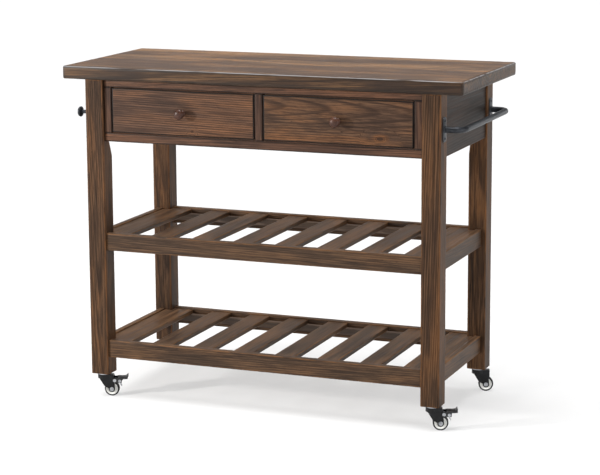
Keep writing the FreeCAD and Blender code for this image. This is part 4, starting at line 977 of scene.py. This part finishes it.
TYRE_PROFILE = [(radius * MM, across * MM) for radius, across in (
    (16.3, -8.5), (17.6, -8.5), (18.4, -8.3), (19.3, -7.7), (20.0, -6.8), (20.4, -5.6),
    (20.5, -4.2), (20.5, -1.5), (20.3, -1.1), (20.3, 1.1), (20.5, 1.5), (20.5, 4.2), (20.4, 5.6),
    (20.0, 6.8), (19.3, 7.7), (18.4, 8.3), (17.6, 8.5), (16.3, 8.5), (16.3, -8.5))]
HUB_PROFILE = [(radius * MM, across * MM) for radius, across in (
    (3.05, -9.5), (7.4, -9.5), (8.0, -9.0), (8.1, -6.2), (8.8, -5.5), (13.0, -5.5), (13.7, -6.2),
    (13.9, -8.2), (14.3, -8.5), (16.0, -8.5), (16.28, -8.2), (16.28, 8.2), (16.0, 8.5),
    (14.3, 8.5), (13.9, 8.2), (13.7, 6.2), (13.0, 5.5), (8.8, 5.5), (8.1, 6.2), (8.0, 9.0),
    (7.4, 9.5), (3.05, 9.5), (3.05, -9.5))]


def caster(corner):
    """A turned wheel under a pressed fork, with a brake lever on the front two."""
    wheel_body, swivel_body = f"wheel_{corner}", f"swivel_{corner}"
    start = f"caster_{corner}"
    low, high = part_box(f"{start}_hub")
    axle = (low + high) / 2
    for part, profile, material, slot_name in (("tyre", TYRE_PROFILE, RUBBER, "tyre"),
                                               ("hub", HUB_PROFILE, NYLON, "hub_plastic")):
        mesh = merged(f"{start}_turned_{part}", [(turned(profile, 72), aim(AXLE, axle))])
        finish_piece(f"{start}_turned_{part}", mesh, wheel_body, [f"{start}_{part}"],
                     material)
    mesh = pressed_copy(f"{start}_pressed_fork", f"{start}_fork", 0.35 * MM)
    finish_piece(f"{start}_pressed_fork", mesh, swivel_body, [f"{start}_fork"],
                 FORK_BLACK)
    if corner.startswith("front"):
        brake_body = f"brake_{corner}"
        mesh = pressed_copy(f"{start}_pressed_lever", f"{start}_brake_lever", 0.4 * MM)
        finish_piece(f"{start}_pressed_lever", mesh, brake_body, [f"{start}_brake_lever"],
                     PEDAL_BLACK)


for corner in CORNERS:
    caster(corner)


# ---------------------------------------------------------------- CAD nodes that stay

KEPT = {
    "joint_dowels": DOWEL, "top_screws": ZINC, "caster_sockets": ZINC, "caster_stems": ZINC,
    "top_cleats": RAW_ALONG, "shelf_cleats": RAW_ACROSS, "drawer_runners": RAW_ALONG,
    "drawer_kickers": RAW_ALONG}
for word in ("left", "right"):
    KEPT[f"drawer_{word}_bottom"] = PLYWOOD
    KEPT[f"drawer_{word}_knob_screw"] = ZINC
    KEPT[f"caster_front_{word}_brake_leaf"] = ZINC
for corner in CORNERS:
    KEPT[f"caster_{corner}_pins"] = ZINC
for node, material in KEPT.items():
    for material_slot in bpy.data.objects[node].material_slots:
        material_slot.material = material


# ---------------------------------------------------------------- studio

def pale_paint(name, dim, bright, glow):
    """Flat pale studio paint with a faint cloudiness."""
    paint = Recipe(name)
    cloudy = paint.cloud(paint.add("TexCoord", out=3), 1.5, 3)
    colour = paint.blend(cloudy, linear(dim, dim, dim), linear(bright, bright, bright))
    return paint.give(Base_Color=colour, Roughness=paint.sum("MULTIPLY_ADD", cloudy, 0.1, 0.8),
                      Specular_IOR_Level=0.1, Emission_Color=(1, 1, 1, 1),
                      Emission_Strength=glow)


def studio_room():
    """A pale floor, and a low pale wall far round it that hides the horizon."""
    floor = bmesh.new()
    bmesh.ops.create_grid(floor, x_segments=12, y_segments=12, size=60)
    wall = bmesh.new()
    sides, far, tall = 64, 45.0, 8.0
    rim = [[wall.verts.new((far * math.cos(2 * math.pi * side / sides),
                            far * math.sin(2 * math.pi * side / sides), level))
            for side in range(sides)] for level in (-0.1, tall)]
    for side in range(sides):
        after = (side + 1) % sides
        wall.faces.new((rim[0][after], rim[0][side], rim[1][side], rim[1][after]))
    for name, bm, paint in (("studio_floor", floor, pale_paint("pale_floor", 196, 201, 0.0)),
                            ("studio_wall", wall, pale_paint("pale_wall", 220, 224, 0.75))):
        mesh = bpy.data.meshes.new(name)
        bm.to_mesh(mesh)
        bm.free()
        mesh.materials.append(paint)
        stand = bpy.data.objects.new(name, mesh)
        bpy.context.scene.collection.objects.link(stand)


def sky_light(name, direction, strength, spread, shadows=True):
    """Broad even light falling one way over the whole room."""
    lamp = bpy.data.lights.new(name, "SUN")
    lamp.energy = strength
    lamp.angle = math.radians(spread)
    lamp.use_shadow = shadows
    sun = bpy.data.objects.new(name, lamp)
    sun.rotation_euler = Vector(direction).to_track_quat("-Z", "Y").to_euler()
    bpy.context.scene.collection.objects.link(sun)


def softbox(name, place, target, side, power, tint):
    """A square lamp aimed at the cart."""
    lamp = bpy.data.lights.new(name, "AREA")
    lamp.size = side
    lamp.energy = power
    lamp.color = tint
    box = bpy.data.objects.new(name, lamp)
    box.location = place
    box.rotation_euler = (Vector(target) - Vector(place)).to_track_quat("-Z", "Y").to_euler()
    bpy.context.scene.collection.objects.link(box)


studio_room()
softbox("key_softbox", (-3.1, -2.75, 1.35), (0, -0.2, 0.6), 0.3, 124, (1, 0.985, 0.96))
softbox("right_fill", (3.9, -1.7, 1.3), (0, 0, 0.5), 1.8, 42, (0.95, 0.97, 1))
sky_light("overhead_diffuser", (0.1, 0.1, -1), 2.1, 45)
sky_light("floor_wash", (0, 0, -1), 3.0, 20, shadows=False)

world = bpy.data.worlds.new("studio")
bpy.context.scene.world = world
world.use_nodes = True
background = world.node_tree.nodes["Background"]
background.inputs["Color"].default_value = (1, 1, 1, 1)
background.inputs["Strength"].default_value = 0.2
bpy.context.scene.view_settings.view_transform = "Standard"

CAMERA_PLACE = (2.0587, -5.0893, 1.5296)
CAMERA_FORWARD = (-0.36436, 0.91358, -0.18057)
CAMERA_RIGHT = (0.9292, 0.3695, -0.0053)
camera_data = bpy.data.cameras.new("camera")
camera_data.lens = 123.1
camera_data.sensor_width = 36
camera_data.shift_y = -0.050
camera_data.clip_end = 100
camera = bpy.data.objects.new("camera", camera_data)
bpy.context.scene.collection.objects.link(camera)
forward = Vector(CAMERA_FORWARD).normalized()
right = Vector(CAMERA_RIGHT).normalized()
right = (right - right.dot(forward) * forward).normalized()
up = right.cross(forward)
camera.matrix_world = Matrix.Translation(CAMERA_PLACE) @ Matrix(
    (right, up, -forward)).transposed().to_4x4()
bpy.context.scene.camera = camera
